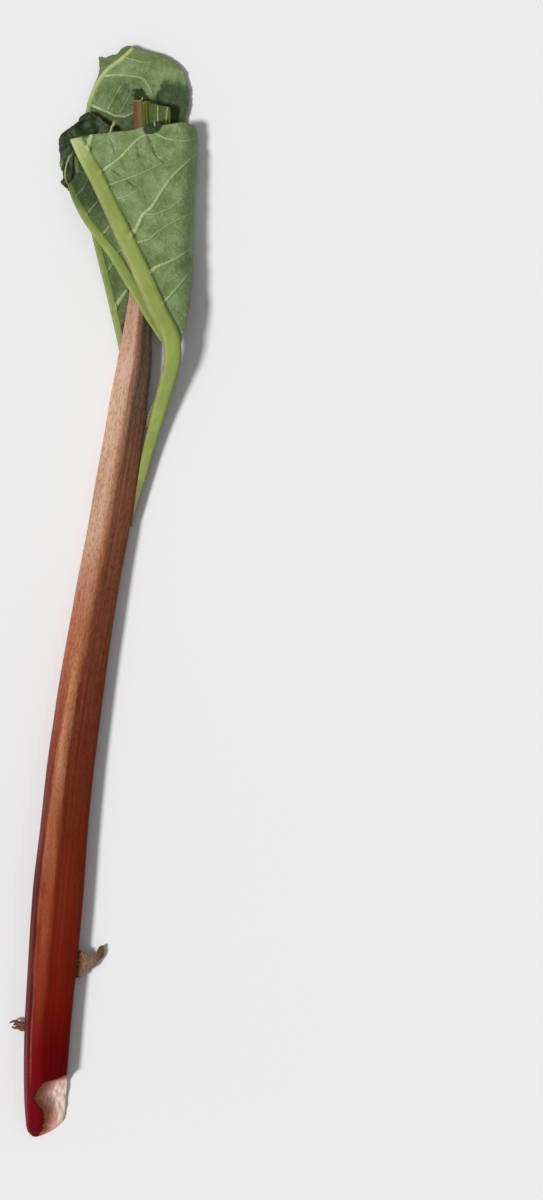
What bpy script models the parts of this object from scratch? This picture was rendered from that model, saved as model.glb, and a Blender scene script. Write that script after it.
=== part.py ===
"""A pulled rhubarb stalk with the folded, trimmed remains of its leaf, lying on a flat surface.

The stalk lies along +Y with its leaf at the +Y end. The surface that it lies on is z = 0.
Run it with: blender --background --python part.py
"""
import math

import bmesh
import bpy
import numpy as np
from mathutils import Vector
from mathutils.geometry import delaunay_2d_cdt

MM = 0.001                      # every length below is in millimetres, along x, y and z

# The stalk: the leaf stem from its torn base, and the leaf's midrib that carries it on.
BASE_Y = -9.0
CUT_Y = 458.0
RING_STEP = 12.0
RING_SIDES = 32
SECTION_SHARPNESS = 9.0         # a higher value makes the stem's long edges crisper

# Each row is a place along y and the value there.
AXIS_X = ((-9, -4.4), (-5, -2.6), (0, -1.0), (10, -1.5), (25, -2.3), (50, -3.3), (80, -3.85),
          (110, -4.15), (150, -3.95), (180, -3.0), (210, -1.4), (240, 0.85), (270, 3.5),
          (300, 5.6), (325, 6.9), (345, 7.85), (370, 7.9), (397, 7.1), (424, 4.6),
          (452, 0.85), (458, 0.1))
WIDTH = ((-9, 2.5), (-7, 8.5), (-4, 13), (0, 16.6), (10, 18.2), (25, 19.5), (60, 21.2),
         (100, 22.6), (130, 21.4), (170, 20.8), (220, 19.5), (245, 18.8), (280, 18.6),
         (310, 17.6), (340, 15.6), (355, 13.0), (372, 10.6), (397, 9.2), (424, 8.2), (458, 7.7))
HEIGHT = ((-9, 2.2), (-6, 5.0), (0, 8.5), (8, 11.5), (20, 13.8), (60, 14.6), (110, 15.0),
          (170, 14.4), (250, 13.4), (320, 12.4), (345, 11.0), (360, 8.6), (375, 7.0),
          (400, 6.4), (458, 5.6))
LIFT = ((-9, 0.0), (330, 0.0), (345, 0.4), (360, 1.9), (375, 3.3), (400, 3.8), (458, 4.2))
# Where the long edge between the two upper faces runs: -1 is the left side, 1 the right.
RIDGE = ((-9, -0.58), (30, -0.58), (60, -0.54), (130, -0.52), (160, -0.42), (190, -0.34),
         (235, -0.12), (280, -0.12), (310, -0.02), (343, 0.14), (370, 0.1), (458, 0.0))
# The way that the upper left and the upper right face look, in degrees up from +X.
LEFT_FACE = ((-9, 152), (120, 150), (190, 140), (235, 128), (343, 124), (458, 125))
RIGHT_FACE = ((-9, 66), (120, 64), (190, 60), (235, 56), (343, 50), (458, 55))
SIDE_FACES = (188.0, 352.0)
LOWER_FACES = (230.0, 310.0)
UNDERSIDE = 270.0
CORE_LEVEL = 0.45               # the section's centre, as a share of its height
FLAT = 0.35                     # how much the stalk's own weight flattens its underside

# The torn base: right of this edge the skin is gone and the stalk is hollowed like a scoop.
TORN_EDGE_X = ((-9, -2.5), (0, -0.9), (3, -1.2), (6.5, -4.0), (9.4, -5.9), (11.7, -5.2),
               (16.5, -2.4), (18.3, 1.9), (21.1, 8.4), (24, 30))
SCOOP_SHARE = 0.76              # how much of the stalk's height the hollow takes away
SCOOP_RUN = 3.2                 # how far from the edge it takes to get that deep

# The leaf: sheets this thick, with raised main veins given as (x, y, half width).
SHEET = 0.8
SHEET_GRID = 3.0
RIB_LINES = (-0.7, 0.0, 0.7)    # where mesh points run along a vein, across its half width
RIB_CLEARANCE = 0.25
VEIN_RISE = 0.55                # how far a vein stands out on the upper side, per half width
VEIN_SINK = 0.2                 # and on the under side

FRONT_VEIN = ((16.2, 284, 0.9), (17.6, 300, 2.2), (20.0, 316, 3.0), (23.2, 333, 3.6),
              (24.9, 344, 3.9), (23.2, 353.5, 4.1), (16.6, 364.5, 4.1), (10.9, 375, 4.1),
              (4.5, 386.4, 4.0),
              (-2.0, 397.3, 3.9), (-9.2, 409.6, 3.7), (-15.9, 420.5, 3.4),
              (-22.4, 430.6, 3.1), (-28.1, 439.8, 2.7))
FRONT_BARE = 70.0               # the length of the vein's root that carries no blade
FRONT_MARGIN = ((-20.1, 441.5), (-11.7, 443.4), (-2.4, 445.3), (2.2, 446.7), (3.2, 445.6),
                (6.1, 444.3), (8.1, 445.5), (9.1, 448.0), (13.1, 448.7), (20, 449.8),
                (27, 448.3), (31, 441), (33, 430), (35, 415), (35, 400), (33, 386),
                (31, 372), (29, 361))
FRONT_LEVELS = ((16.2, 284, 4.2), (17.6, 300, 4.8), (20.0, 316, 6.2), (23.2, 333, 9.2),
                (24.9, 344, 11.8), (23.2, 353.5, 14.0), (28, 364, 13.6),
                (16.6, 364.5, 15.6), (10.9, 375, 16.2), (4.5, 386.4, 16.2),
                (-2, 397.3, 15.6), (-9.2, 409.6, 14.4), (-15.9, 420.5, 13.0),
                (-22.4, 430.6, 11.4), (-28.1, 439.8, 10.0), (22, 366, 14.8), (16, 385, 15.6),
                (24, 385, 14.4), (22, 410, 13.6), (8, 410, 14.6), (0, 425, 13.6),
                (12, 430, 13.4), (22, 430, 12.8), (-18, 441, 10.8), (-6, 444, 11.6),
                (3, 446, 12.0), (13, 447, 11.4), (22, 446, 11.0))
# The blade droops right of this line.
DRAPE_X = ((345, 32.0), (356, 29.0), (366, 25.5), (378, 22.8), (400, 20.5), (450, 18.0))
DRAPE_RADIUS = 8.0

SIDE_VEIN = ((21, 330, 1.2), (23.2, 338, 1.6), (23.6, 345, 1.9), (22, 351.1, 2.1),
             (19.5, 354.3, 2.3), (16.2, 358.6, 2.5), (12.9, 362.8, 2.6), (6.9, 371.3, 2.65),
             (0.7, 379.8, 2.65), (-5.5, 388.1, 2.5), (-9.4, 392.2, 2.2), (-13.3, 396.3, 2.0),
             (-20.5, 404.6, 1.85), (-25.8, 412.9, 1.8), (-28.6, 418.6, 1.6))
SIDE_BARE = 31.0
SIDE_MARGIN = ((-24, 424.5), (-20.5, 427), (-15, 424), (-9, 415), (-3, 405), (2, 396),
               (8, 386.5), (13, 377), (17, 368), (20.5, 361))
SIDE_LEVELS = ((21, 330, 5.0), (23.2, 338, 6.4), (23.6, 345, 8.2), (22, 351.1, 9.8),
               (19.5, 354.3, 10.6), (16.2, 358.6, 11.3), (12.9, 362.8, 11.9),
               (6.9, 371.3, 12.3), (0.7, 379.8, 12.1), (-5.5, 388.1, 11.1),
               (-9.4, 392.2, 10.5), (-13.3, 396.3, 9.8), (-20.5, 404.6, 8.6),
               (-25.8, 412.9, 7.4), (-28.6, 418.6, 6.8), (20, 362, 10.8), (15, 370, 12.1),
               (8, 386, 12.2), (2, 396, 11.3), (-6, 410, 9.2), (-16, 424, 7.6),
               (-24, 424.5, 7.0))

OUTER_VEIN = ((0.0, 351.5, 0.9), (-2.1, 359.3, 1.6), (-4.7, 367, 1.75), (-7.4, 375.2, 1.75),
              (-10.3, 383.2, 1.75), (-13.5, 392.6, 1.75), (-15.5, 398.6, 1.7),
              (-19, 409, 1.5), (-24, 421, 1.2), (-27, 431, 0.9))
OUTER_BARE = 9.0
OUTER_VEIN_EDGE = 52.0          # the length along which the vein is the lobe's left edge
OUTER_MARGIN = ((-22, 409), (-27, 414), (-30.9, 417.4), (-32.9, 418.6), (-32, 421.4),
                (-34, 427.5), (-33.9, 429.9), (-35, 434.7), (-35.4, 438.7), (-34.4, 440.4),
                (-32.2, 442.3), (-28.2, 446), (-26.2, 449.2), (-23.1, 451.4), (-19.5, 450),
                (-15.5, 447.3), (-11.5, 444.6), (-9, 436), (-12, 424), (-14, 412),
                (-12, 402), (-8, 394), (-3.5, 386), (0.5, 378), (1.4, 370), (0.6, 362))
OUTER_LEVELS = ((0, 351.5, 1.4), (-2.1, 359.3, 1.7), (-7.4, 375, 2.3), (0.8, 370, 1.7),
                (-2, 383, 3.0), (-10.3, 383, 3.0), (-13.5, 392.6, 3.6), (-8, 394, 3.8),
                (-19, 408, 4.0), (-13, 410, 4.2), (-30, 421, 3.4), (-34, 430, 3.6),
                (-34.5, 438, 4.0), (-30, 430, 4.6), (-25, 440, 4.8), (-20, 430, 4.6),
                (-12, 436, 4.6), (-12, 444, 4.4), (-23, 450, 4.6))

BACK_VEIN = ((2.5, 375, 0.9), (-5.5, 392, 1.3), (-14, 410, 1.3), (-21, 428, 1.2),
             (-23.9, 445, 1.1), (-23.4, 454.7, 1.0), (-21.3, 462.4, 0.9),
             (-16.6, 470.6, 0.8), (-9.9, 477, 0.7), (-6.2, 481.4, 0.6))
BACK_BARE = 6.0
BACK_VEIN_EDGE = 92.0
BACK_MARGIN = ((-20.3, 467.5), (-20.2, 471), (-21.2, 477.3), (-18.5, 476.2), (-15.8, 477.9),
               (-13.2, 478.3), (-11.2, 481.2), (-7.6, 482.6), (-5, 481.4), (2.3, 480.7),
               (7.4, 479.8), (13, 477.5), (18.5, 471), (21, 461), (20, 450), (17, 436),
               (14, 418), (10.5, 398), (7, 384))
BACK_LEVELS = ((2.5, 375, 1.1), (-5.5, 392, 1.0), (-14, 410, 0.95), (-21, 428, 0.95),
               (-23.9, 445, 1.1), (-23.4, 454.7, 2.0), (-21.3, 462.4, 3.6),
               (-16.6, 470.6, 4.8), (-9.9, 477, 4.8), (-6.2, 481.4, 4.4), (-20.6, 474, 2.2),
               (-13, 479, 2.8), (7, 384, 0.6), (14, 418, 0.7), (0, 430, 0.8), (17, 436, 1.0),
               (0, 452, 1.4), (-12, 452, 1.5), (20, 450, 1.8), (-8, 466, 3.6), (2, 466, 2.6),
               (2, 480, 3.8), (13, 477, 2.4), (20, 461, 1.8), (0, 459, 1.6))

STRIP_OUTLINE = ((12.3, 405), (11.0, 415), (9.6, 424), (7.7, 436), (5.9, 448), (4.7, 457.3),
                 (8.5, 457.0), (12.8, 456.5), (14, 448), (15.5, 435), (15, 420), (13.6, 409))
STRIP_LEVELS = ((12.3, 405, 7.2), (9.6, 424, 7.2), (5.9, 448, 7.4), (4.7, 457, 7.4),
                (12.8, 456.5, 6.6), (15.5, 435, 6.4), (13.6, 409, 6.8))

# The dry remains of the sheath near the base.
FLAP_OUTLINE = ((7.5, 77), (7.6, 60), (9.6, 61.2), (12, 66), (15.5, 69), (17.5, 72.5),
                (19.8, 75.5), (19.2, 80.5), (17.2, 79), (15.5, 75.5), (12.5, 73.5), (10, 76))
FLAP_LEVELS = ((7.5, 77, 5.4), (7.6, 60, 5.0), (12, 66, 4.0), (15.5, 69, 2.8),
               (19.8, 75.5, 1.4), (19.2, 80.5, 1.6), (12.5, 73.5, 4.4), (17, 75, 2.4))
FLAP_SHEET = 0.5
WISP_PATH = ((-13.5, 40.0, 4.4), (-16.2, 39.6, 4.0), (-18.4, 40.0, 3.0), (-20.8, 40.9, 2.2))
WISP_SIZES = ((1.9, 1.1), (1.7, 0.9), (1.2, 0.7), (0.6, 0.4))   # half width, half height
WISP_RINGS = 9
WISP_SIDES = 10

FINISHES = {                    # base colour and roughness
    "stalk_skin": ((0.27, 0.085, 0.045), 0.38),
    "leaf_underside": ((0.17, 0.26, 0.09), 0.55),
    "leaf_dark": ((0.035, 0.085, 0.03), 0.35),
    "dry_sheath": ((0.28, 0.19, 0.10), 0.80),
}


def curve(table, at):
    """Read the smooth curve through the table's rows, which never swings past them."""
    rows = np.array(table, dtype=float)
    places, values = rows[:, 0], rows[:, 1:]
    gaps = np.diff(places)[:, None]
    rises = np.diff(values, axis=0) / gaps
    before, after = rises[:-1], rises[1:]
    same_way = before * after > 0.0
    total = np.where(same_way, before + after, 1.0)
    slopes = np.concatenate((rises[:1], np.where(same_way, 2 * before * after / total, 0.0),
                             rises[-1:]))
    at = np.clip(np.atleast_1d(np.asarray(at, dtype=float)), places[0], places[-1])
    left = np.clip(np.searchsorted(places, at, side="right") - 1, 0, len(places) - 2)
    gap = gaps[left]
    t = (at - places[left])[:, None] / gap
    result = ((2 * t**3 - 3 * t**2 + 1) * values[left] + (t**3 - 2 * t**2 + t) * gap * slopes[left]
              + (3 * t**2 - 2 * t**3) * values[left + 1] + (t**3 - t**2) * gap * slopes[left + 1])
    return result[:, 0] if result.shape[1] == 1 else result


def smooth_path(points, step):
    """Sample the smooth curve through the points about every step; also give the lengths."""
    points = np.array(points, dtype=float)
    runs = np.linalg.norm(np.diff(points[:, :2], axis=0), axis=1)
    along = np.concatenate(([0.0], np.cumsum(runs)))
    lengths = np.linspace(0.0, along[-1], max(2, int(along[-1] / step) + 1))
    return curve(np.column_stack((along, points)), lengths), lengths


def section_radius(angles, facets):
    """Reach of a many-sided section with rounded corners, for each direction."""
    total = 0.0
    for facing, distance in facets:
        share = np.maximum(np.cos(angles - np.radians(facing)), 0.0) / distance
        total = total + share ** SECTION_SHARPNESS
    return total ** (-1.0 / SECTION_SHARPNESS)


def stalk_section(y, angles):
    """One ring of the stalk's skin at y, before the torn base is cut."""
    half, height = curve(WIDTH, y)[0] / 2, curve(HEIGHT, y)[0]
    core = CORE_LEVEL * height
    ridge = np.array((curve(RIDGE, y)[0] * half, height - core))
    facets = [(side, half) for side in SIDE_FACES]
    facets += [(lower, 0.86 * (half + core) / 2) for lower in LOWER_FACES]
    facets.append((UNDERSIDE, core))
    for face in (curve(LEFT_FACE, y)[0], curve(RIGHT_FACE, y)[0]):
        looks = np.array((math.cos(math.radians(face)), math.sin(math.radians(face))))
        facets.append((face, ridge @ looks))
    reach = section_radius(angles, facets)
    x, z = reach * np.cos(angles), reach * np.sin(angles)
    x = (x - x.min()) / np.ptp(x) * 2 * half - half + curve(AXIS_X, y)[0]
    z = (z - z.min()) / np.ptp(z) * (height + FLAT) - FLAT
    z = np.maximum(z, 0.0) + curve(LIFT, y)[0]
    return np.column_stack((x, np.full_like(x, y), z))


def scoop(ring):
    """Hollow out the torn base, right of its edge."""
    past_edge = np.maximum(ring[:, 0] - curve(TORN_EDGE_X, ring[:, 1]), 0.0)
    ring[:, 2] *= 1.0 - SCOOP_SHARE * (1.0 - np.exp(-past_edge / SCOOP_RUN))
    return ring


def closed_tube(rings):
    """Vertices and faces of a closed body through the rings, with a flat cap at each end."""
    sides = len(rings[0])
    vertices = np.concatenate(rings)
    faces = []
    for row in range(len(rings) - 1):
        start, above = row * sides, (row + 1) * sides
        for side in range(sides):
            following = (side + 1) % sides
            faces.append((start + side, start + following, above + following, above + side))
    faces.append(tuple(range(sides))[::-1])
    faces.append(tuple(range(len(vertices) - sides, len(vertices))))
    return vertices, faces


def level_surface(levels):
    """Fit a thin springy plate through (x, y, z) points; the result gives z at any places."""
    levels = np.array(levels, dtype=float)
    knots, heights = levels[:, :2], levels[:, 2]

    def bend(places):
        squared = ((places[:, None, :] - knots[None, :, :]) ** 2).sum(axis=2)
        return squared * np.log(squared + 1e-9)

    flat = np.column_stack((np.ones(len(knots)), knots))
    system = np.zeros((len(knots) + 3, len(knots) + 3))
    system[:len(knots), :len(knots)] = bend(knots)
    system[:len(knots), len(knots):] = flat
    system[len(knots):, :len(knots)] = flat.T
    weights = np.linalg.solve(system, np.concatenate((heights, np.zeros(3))))

    def height_at(places):
        plane = np.column_stack((np.ones(len(places)), places))
        return bend(places) @ weights[:-3] + plane @ weights[-3:]

    return height_at


def vein_relief(vein, places):
    """How high the vein stands over the sheet at the places, as a rounded rib."""
    path, _ = smooth_path(vein, 2.0)
    starts, runs = path[:-1], np.diff(path, axis=0)
    offset = places[:, None, :] - starts[None, :, :2]
    share = (offset * runs[None, :, :2]).sum(axis=2) / (runs[:, :2] ** 2).sum(axis=1)
    share = np.clip(share, 0.0, 1.0)[:, :, None]
    nearest = starts[None, :, :] + share * runs[None, :, :]
    distance = np.linalg.norm(places[:, None, :] - nearest[:, :, :2], axis=2)
    rows = np.arange(len(places))
    closest = distance.argmin(axis=1)
    half = nearest[rows, closest, 2]
    inside = np.clip(1.0 - (distance[rows, closest] / half) ** 2, 0.0, 1.0)
    return half * np.sqrt(inside)


def inside_outline(outline, places):
    """Tell which places lie within the closed outline."""
    inside = np.zeros(len(places), dtype=bool)
    for start, end in zip(outline, np.roll(outline, -1, axis=0)):
        crosses = (start[1] > places[:, 1]) != (end[1] > places[:, 1])
        rise = end[1] - start[1]
        reach = start[0] + (end[0] - start[0]) * (places[:, 1] - start[1]) / (rise if rise else 1.0)
        inside ^= crosses & (places[:, 0] < reach)
    return inside


def spaced(places, others, gap):
    """The places that are at least the gap from every one of the others."""
    apart = np.linalg.norm(places[:, None, :] - others[None, :, :], axis=2).min(axis=1)
    return places[apart > gap]


def fill_outline(outline, grid, vein):
    """Triangles that fill the outline, with inner points along the vein and on a grid."""
    low, high = outline.min(axis=0), outline.max(axis=0)
    points = outline
    if vein:
        lines = np.concatenate([vein_line(vein, share) for share in RIB_LINES])
        points = np.concatenate((points, spaced(lines[inside_outline(outline, lines)],
                                                points, RIB_CLEARANCE)))
    inner = []
    for row, y in enumerate(np.arange(low[1], high[1], grid * math.sqrt(0.75))):
        for x in np.arange(low[0] + (row % 2) * grid / 2, high[0], grid):
            inner.append((x, y))
    inner = np.array(inner)
    inner = spaced(inner[inside_outline(outline, inner)], points, 0.55 * grid)
    points = [Vector(point) for point in np.concatenate((points, inner))]
    edges = [(index, (index + 1) % len(outline)) for index in range(len(outline))]
    vertices, _, triangles, *_ = delaunay_2d_cdt(points, edges, [], 1, 1e-5)
    return np.array([tuple(vertex) for vertex in vertices]), [tuple(face) for face in triangles]


def even_outline(points, step):
    """Put extra points on the outline's long edges, so that none is longer than the step."""
    points = np.array(points, dtype=float)
    result = []
    for start, end in zip(points, np.roll(points, -1, axis=0)):
        pieces = max(1, math.ceil(np.linalg.norm(end - start) / step))
        result += [start + (end - start) * piece / pieces for piece in range(pieces)]
    return np.array(result)


def vein_line(vein, share, start=0.0, end=math.inf):
    """A line along the vein in plan, from its left edge (-1) over its middle (0) to its right (1)."""
    path, lengths = smooth_path(vein, SHEET_GRID)
    runs = np.gradient(path[:, :2], axis=0)
    runs /= np.linalg.norm(runs, axis=1)[:, None]
    across = np.column_stack((runs[:, 1], -runs[:, 0])) * share
    line = path[:, :2] + across * path[:, 2:3]
    return line[(lengths >= start) & (lengths <= end)]


def lobe_outline(vein, bare, margin, vein_edge=math.inf):
    """The outline of a lobe whose vein is its left edge: up the vein, round, and back."""
    left = vein_line(vein, -1, end=vein_edge)
    root = vein_line(vein, 1, end=bare)[::-1]
    if vein_edge == math.inf:
        left = np.concatenate((left, vein_line(vein, 1)[-1:]))
    return even_outline(np.concatenate((left, margin, root)), 1.4 * SHEET_GRID)


def draped(places, height_at):
    """Set the front blade at its level, and bend it down past the drape line."""
    fold = curve(DRAPE_X, places[:, 1])
    past = np.maximum(places[:, 0] - fold, 0.0)
    turn = past / DRAPE_RADIUS
    x = np.where(past > 0.0, fold + DRAPE_RADIUS * np.sin(turn), places[:, 0])
    z = height_at(places) - DRAPE_RADIUS * (1.0 - np.cos(turn))
    return np.column_stack((x, places[:, 1], z))


def flat_laid(places, height_at):
    """Set a blade at its level."""
    return np.column_stack((places, height_at(places)))


def sheet(outline, levels, vein=None, lay=flat_laid, thickness=SHEET):
    """Vertices and faces of a closed leaf sheet with its main vein."""
    flat, triangles = fill_outline(outline, SHEET_GRID, vein)
    height_at = level_surface(levels)
    middle = lay(flat, height_at)
    along_x = lay(flat + (0.05, 0.0), height_at) - middle
    along_y = lay(flat + (0.0, 0.05), height_at) - middle
    normal = np.cross(along_x, along_y)
    normal /= np.linalg.norm(normal, axis=1)[:, None]
    rib = vein_relief(vein, flat) if vein else np.zeros(len(flat))
    upper = middle + normal * (thickness / 2 + VEIN_RISE * rib)[:, None]
    under = middle - normal * (thickness / 2 + VEIN_SINK * rib)[:, None]
    count = len(flat)
    faces = [tuple(face) for face in triangles]
    faces += [tuple(count + index for index in face[::-1]) for face in triangles]
    directed = {(face[i], face[(i + 1) % 3]) for face in triangles for i in range(3)}
    for start, end in sorted(directed):
        if (end, start) not in directed:
            faces.append((end, start, count + start, count + end))
    return np.concatenate((upper, under)), faces


def wisp():
    """A short twist of dry skin, as a tapering curl."""
    path, lengths = smooth_path(np.column_stack((WISP_PATH, WISP_SIZES)), 0.1)
    picks = np.linspace(0, len(path) - 1, WISP_RINGS).astype(int)
    rings = []
    for pick in picks:
        x, y, z, half_width, half_height = path[pick]
        angles = np.linspace(0.0, 2 * math.pi, WISP_SIDES, endpoint=False)
        rings.append(np.column_stack((np.full(WISP_SIDES, x), y + half_width * np.cos(angles),
                                      z + half_height * np.sin(angles))))
    return closed_tube(rings)


def stalk():
    """The stem and midrib, ring by ring from the torn base to the cut."""
    base_rings = (BASE_Y, -8.2, -7.0, -5.5, -4.0, -2.0, 0.0, 2.0, 4.0, 6.5, 9.4, 11.7, 14.0,
                  16.5, 18.3, 19.8, 21.1, 22.6)
    upper_rings = np.arange(25.0, CUT_Y - RING_STEP / 2, RING_STEP)
    angles = np.linspace(0.0, 2 * math.pi, RING_SIDES, endpoint=False) - math.pi / 2
    places = (*base_rings, *upper_rings, CUT_Y)
    return closed_tube([scoop(stalk_section(float(y), angles)) for y in places])


def finish(name):
    """A plain material in the finish's colour."""
    colour, roughness = FINISHES[name]
    material = bpy.data.materials.new(name)
    material.use_nodes = True
    shader = material.node_tree.nodes["Principled BSDF"]
    shader.inputs["Base Color"].default_value = (*colour, 1.0)
    shader.inputs["Roughness"].default_value = roughness
    material.diffuse_color = (*colour, 1.0)
    return material


def add_piece(name, body, material):
    """Make one named object from vertices in millimetres and faces."""
    vertices, faces = body
    mesh = bpy.data.meshes.new(name)
    mesh.from_pydata([tuple(vertex) for vertex in vertices * MM], [], faces)
    builder = bmesh.new()
    builder.from_mesh(mesh)
    bmesh.ops.recalc_face_normals(builder, faces=builder.faces)
    builder.to_mesh(mesh)
    builder.free()
    mesh.shade_smooth()
    mesh.set_sharp_from_angle(angle=math.radians(50))
    mesh.materials.append(material)
    piece = bpy.data.objects.new(name, mesh)
    bpy.context.scene.collection.objects.link(piece)
    return piece


def centre_on_origin(pieces):
    """Move all the pieces so that the origin is under the middle of the object."""
    corners = np.array([vertex.co[:] for piece in pieces for vertex in piece.data.vertices])
    middle = (corners.min(axis=0) + corners.max(axis=0)) / 2
    for piece in pieces:
        piece.location = (-middle[0], -middle[1], -corners[:, 2].min())


def build():
    """Clear the scene and model every piece."""
    for old in list(bpy.data.objects):
        bpy.data.objects.remove(old)
    materials = {name: finish(name) for name in FINISHES}
    front = lobe_outline(FRONT_VEIN, FRONT_BARE, FRONT_MARGIN)
    side = lobe_outline(SIDE_VEIN, SIDE_BARE, SIDE_MARGIN)
    outer = lobe_outline(OUTER_VEIN, OUTER_BARE, OUTER_MARGIN, OUTER_VEIN_EDGE)
    back = lobe_outline(BACK_VEIN, BACK_BARE, BACK_MARGIN, BACK_VEIN_EDGE)
    strip = even_outline(STRIP_OUTLINE, SHEET_GRID)
    flap = even_outline(FLAP_OUTLINE, SHEET_GRID)
    bodies = (
        ("stalk", stalk(), "stalk_skin"),
        ("front_leaf_lobe", sheet(front, FRONT_LEVELS, FRONT_VEIN, draped), "leaf_underside"),
        ("side_leaf_lobe", sheet(side, SIDE_LEVELS, SIDE_VEIN), "leaf_underside"),
        ("outer_leaf_lobe", sheet(outer, OUTER_LEVELS, OUTER_VEIN), "leaf_dark"),
        ("back_leaf_lobe", sheet(back, BACK_LEVELS, BACK_VEIN), "leaf_underside"),
        ("midrib_leaf_strip", sheet(strip, STRIP_LEVELS), "leaf_underside"),
        ("dry_sheath_flap", sheet(flap, FLAP_LEVELS, thickness=FLAP_SHEET), "dry_sheath"),
        ("dry_sheath_wisp", wisp(), "dry_sheath"),
    )
    centre_on_origin([add_piece(name, body, materials[skin]) for name, body, skin in bodies])


build()
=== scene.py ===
"""The looks of a rhubarb stalk with its folded, trimmed leaf, laid on a pale studio floor.

The stalk lies along +Y, with its torn base towards -Y and its leaf towards +Y.
"""
import math
from dataclasses import dataclass

import bmesh
import bpy
import numpy as np
from bpy.props import FloatProperty, FloatVectorProperty, PointerProperty
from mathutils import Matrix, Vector, kdtree, noise
from mathutils.geometry import delaunay_2d_cdt


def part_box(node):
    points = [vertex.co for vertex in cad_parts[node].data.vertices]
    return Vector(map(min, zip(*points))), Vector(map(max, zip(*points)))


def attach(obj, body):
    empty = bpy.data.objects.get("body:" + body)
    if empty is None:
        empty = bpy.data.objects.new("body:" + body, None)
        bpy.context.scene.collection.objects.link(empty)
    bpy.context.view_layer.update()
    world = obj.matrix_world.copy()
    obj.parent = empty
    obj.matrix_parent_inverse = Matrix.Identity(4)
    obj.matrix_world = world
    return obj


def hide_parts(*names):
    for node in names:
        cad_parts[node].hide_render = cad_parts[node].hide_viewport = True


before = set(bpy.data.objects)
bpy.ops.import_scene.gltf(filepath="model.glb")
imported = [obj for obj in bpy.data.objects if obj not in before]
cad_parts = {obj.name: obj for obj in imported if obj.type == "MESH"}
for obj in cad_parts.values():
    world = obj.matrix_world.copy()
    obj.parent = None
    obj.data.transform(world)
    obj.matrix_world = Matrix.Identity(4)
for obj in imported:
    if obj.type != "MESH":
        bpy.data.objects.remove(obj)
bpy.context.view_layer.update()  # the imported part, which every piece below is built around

bl_info = {
    "name": "Rhubarb stalk",
    "version": (1, 0, 0),
    "blender": (4, 5, 0),
    "location": "3D View > Sidebar > Rhubarb",
    "description": "Builds a pulled rhubarb stalk with its folded leaf, and a studio round it",
    "category": "Add Mesh",
}

MM = 0.001  # lengths are in millimetres of the stalk's own frame, unless said
BODY = "root"

# The stalk.
BASE_Y = -9.0
CUT_Y = 458.0
BASE_LENGTH = 36.0  # the torn end, which gets closer rings
CUT_LENGTH = 4.0  # the cut end, which gets closer rings too
BASE_STEP = 0.5
STEM_STEP = 1.0
CUT_STEPS = 11  # rings in the cut end
STEM_SIDES = 120
FINE_SWELL = 0.16  # heights of the skin's fine and broad swellings
BROAD_SWELL = 0.22
CUT_UNEVEN = 0.8  # how far the cut end strays along y
CUT_RIM = (0.9, 0.3)  # how far below the cut the pith's colour starts and is full
CUT_RIM_SHARE = 0.6  # how much of it shows there
NICK = (1.0, 0.55, 1.2)  # the nick in the cut end: place across, half width, depth
CUT_RINGS = ((0.9, 0.25), (0.7, 0.45), (0.45, 0.3), (0.2, 0.5), (0.06, 0.4))  # size, dip
CORE_LEVEL = 0.45  # how high the middle of a section lies, as a share of its height
FLAT = 0.35  # how much of the round underside is pressed flat
TORN_EDGE_X = ((-9, -2.5), (0, -0.9), (3, -1.2), (6.5, -4.0), (9.4, -5.9), (11.7, -5.2),
               (16.5, -2.4), (18.3, 1.9), (21.1, 8.4), (24, 30))
SCOOP_SHARE = 0.76  # how deep the torn face is scooped, as a share of the height
SCOOP_RUN = 3.2  # how far in from the torn edge the scoop deepens
SCOOP_BUMPS = 0.55  # how high the bumps in the torn face are
TORN_RAGGED = 0.8  # how far the torn edge strays from its line

# The stem's sections. Each row is a place along y and the value there.
AXIS_X = ((-9, -4.4), (-5, -2.6), (0, -1.0), (10, -1.5), (25, -2.3), (50, -3.3), (80, -3.85),
          (110, -4.15), (150, -3.95), (180, -3.0), (210, -1.4), (240, 0.85), (270, 3.5),
          (300, 5.6), (325, 6.9), (345, 7.85), (370, 7.9), (397, 7.1), (424, 4.6),
          (452, 0.85), (458, 0.1))
WIDTH = ((-9, 2.5), (-7, 8.5), (-4, 13), (0, 16.6), (10, 18.2), (25, 19.5), (60, 21.2),
         (100, 22.6), (130, 21.4), (170, 20.8), (220, 19.5), (245, 18.8), (280, 18.6),
         (310, 17.6), (340, 15.6), (355, 13.0), (372, 10.6), (397, 9.2), (424, 8.2), (458, 7.7))
HEIGHT = ((-9, 2.2), (-6, 5.0), (0, 8.5), (8, 11.5), (20, 13.8), (60, 14.6), (110, 15.0),
          (170, 14.4), (250, 13.4), (320, 12.4), (345, 11.0), (360, 8.6), (375, 7.0),
          (400, 6.4), (458, 5.6))
LIFT = ((-9, 0.0), (330, 0.0), (345, 0.4), (360, 1.9), (375, 3.3), (400, 3.8), (458, 4.2))
SHARPNESS = ((0, 4.6), (120, 5.0), (200, 6.0), (300, 7.5), (360, 6.0), (458, 4.0))
# The long edge on top, as a share of the half width, and the directions of the faces beside it.
RIDGE = ((-9, -0.58), (30, -0.58), (60, -0.54), (130, -0.52), (160, -0.42), (190, -0.34),
         (235, -0.12), (280, -0.12), (310, -0.02), (343, 0.14), (370, 0.1), (458, 0.0))
LEFT_FACE = ((-9, 152), (120, 150), (190, 140), (235, 128), (343, 124), (458, 125))
RIGHT_FACE = ((-9, 66), (120, 64), (190, 60), (235, 56), (343, 50), (458, 55))
SIDE_FACES = (188.0, 352.0)
LOWER_FACES = (230.0, 310.0)
LOWER_REACH = 0.86  # how far out the lower faces lie, as a share
UNDERSIDE = 270.0
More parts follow.
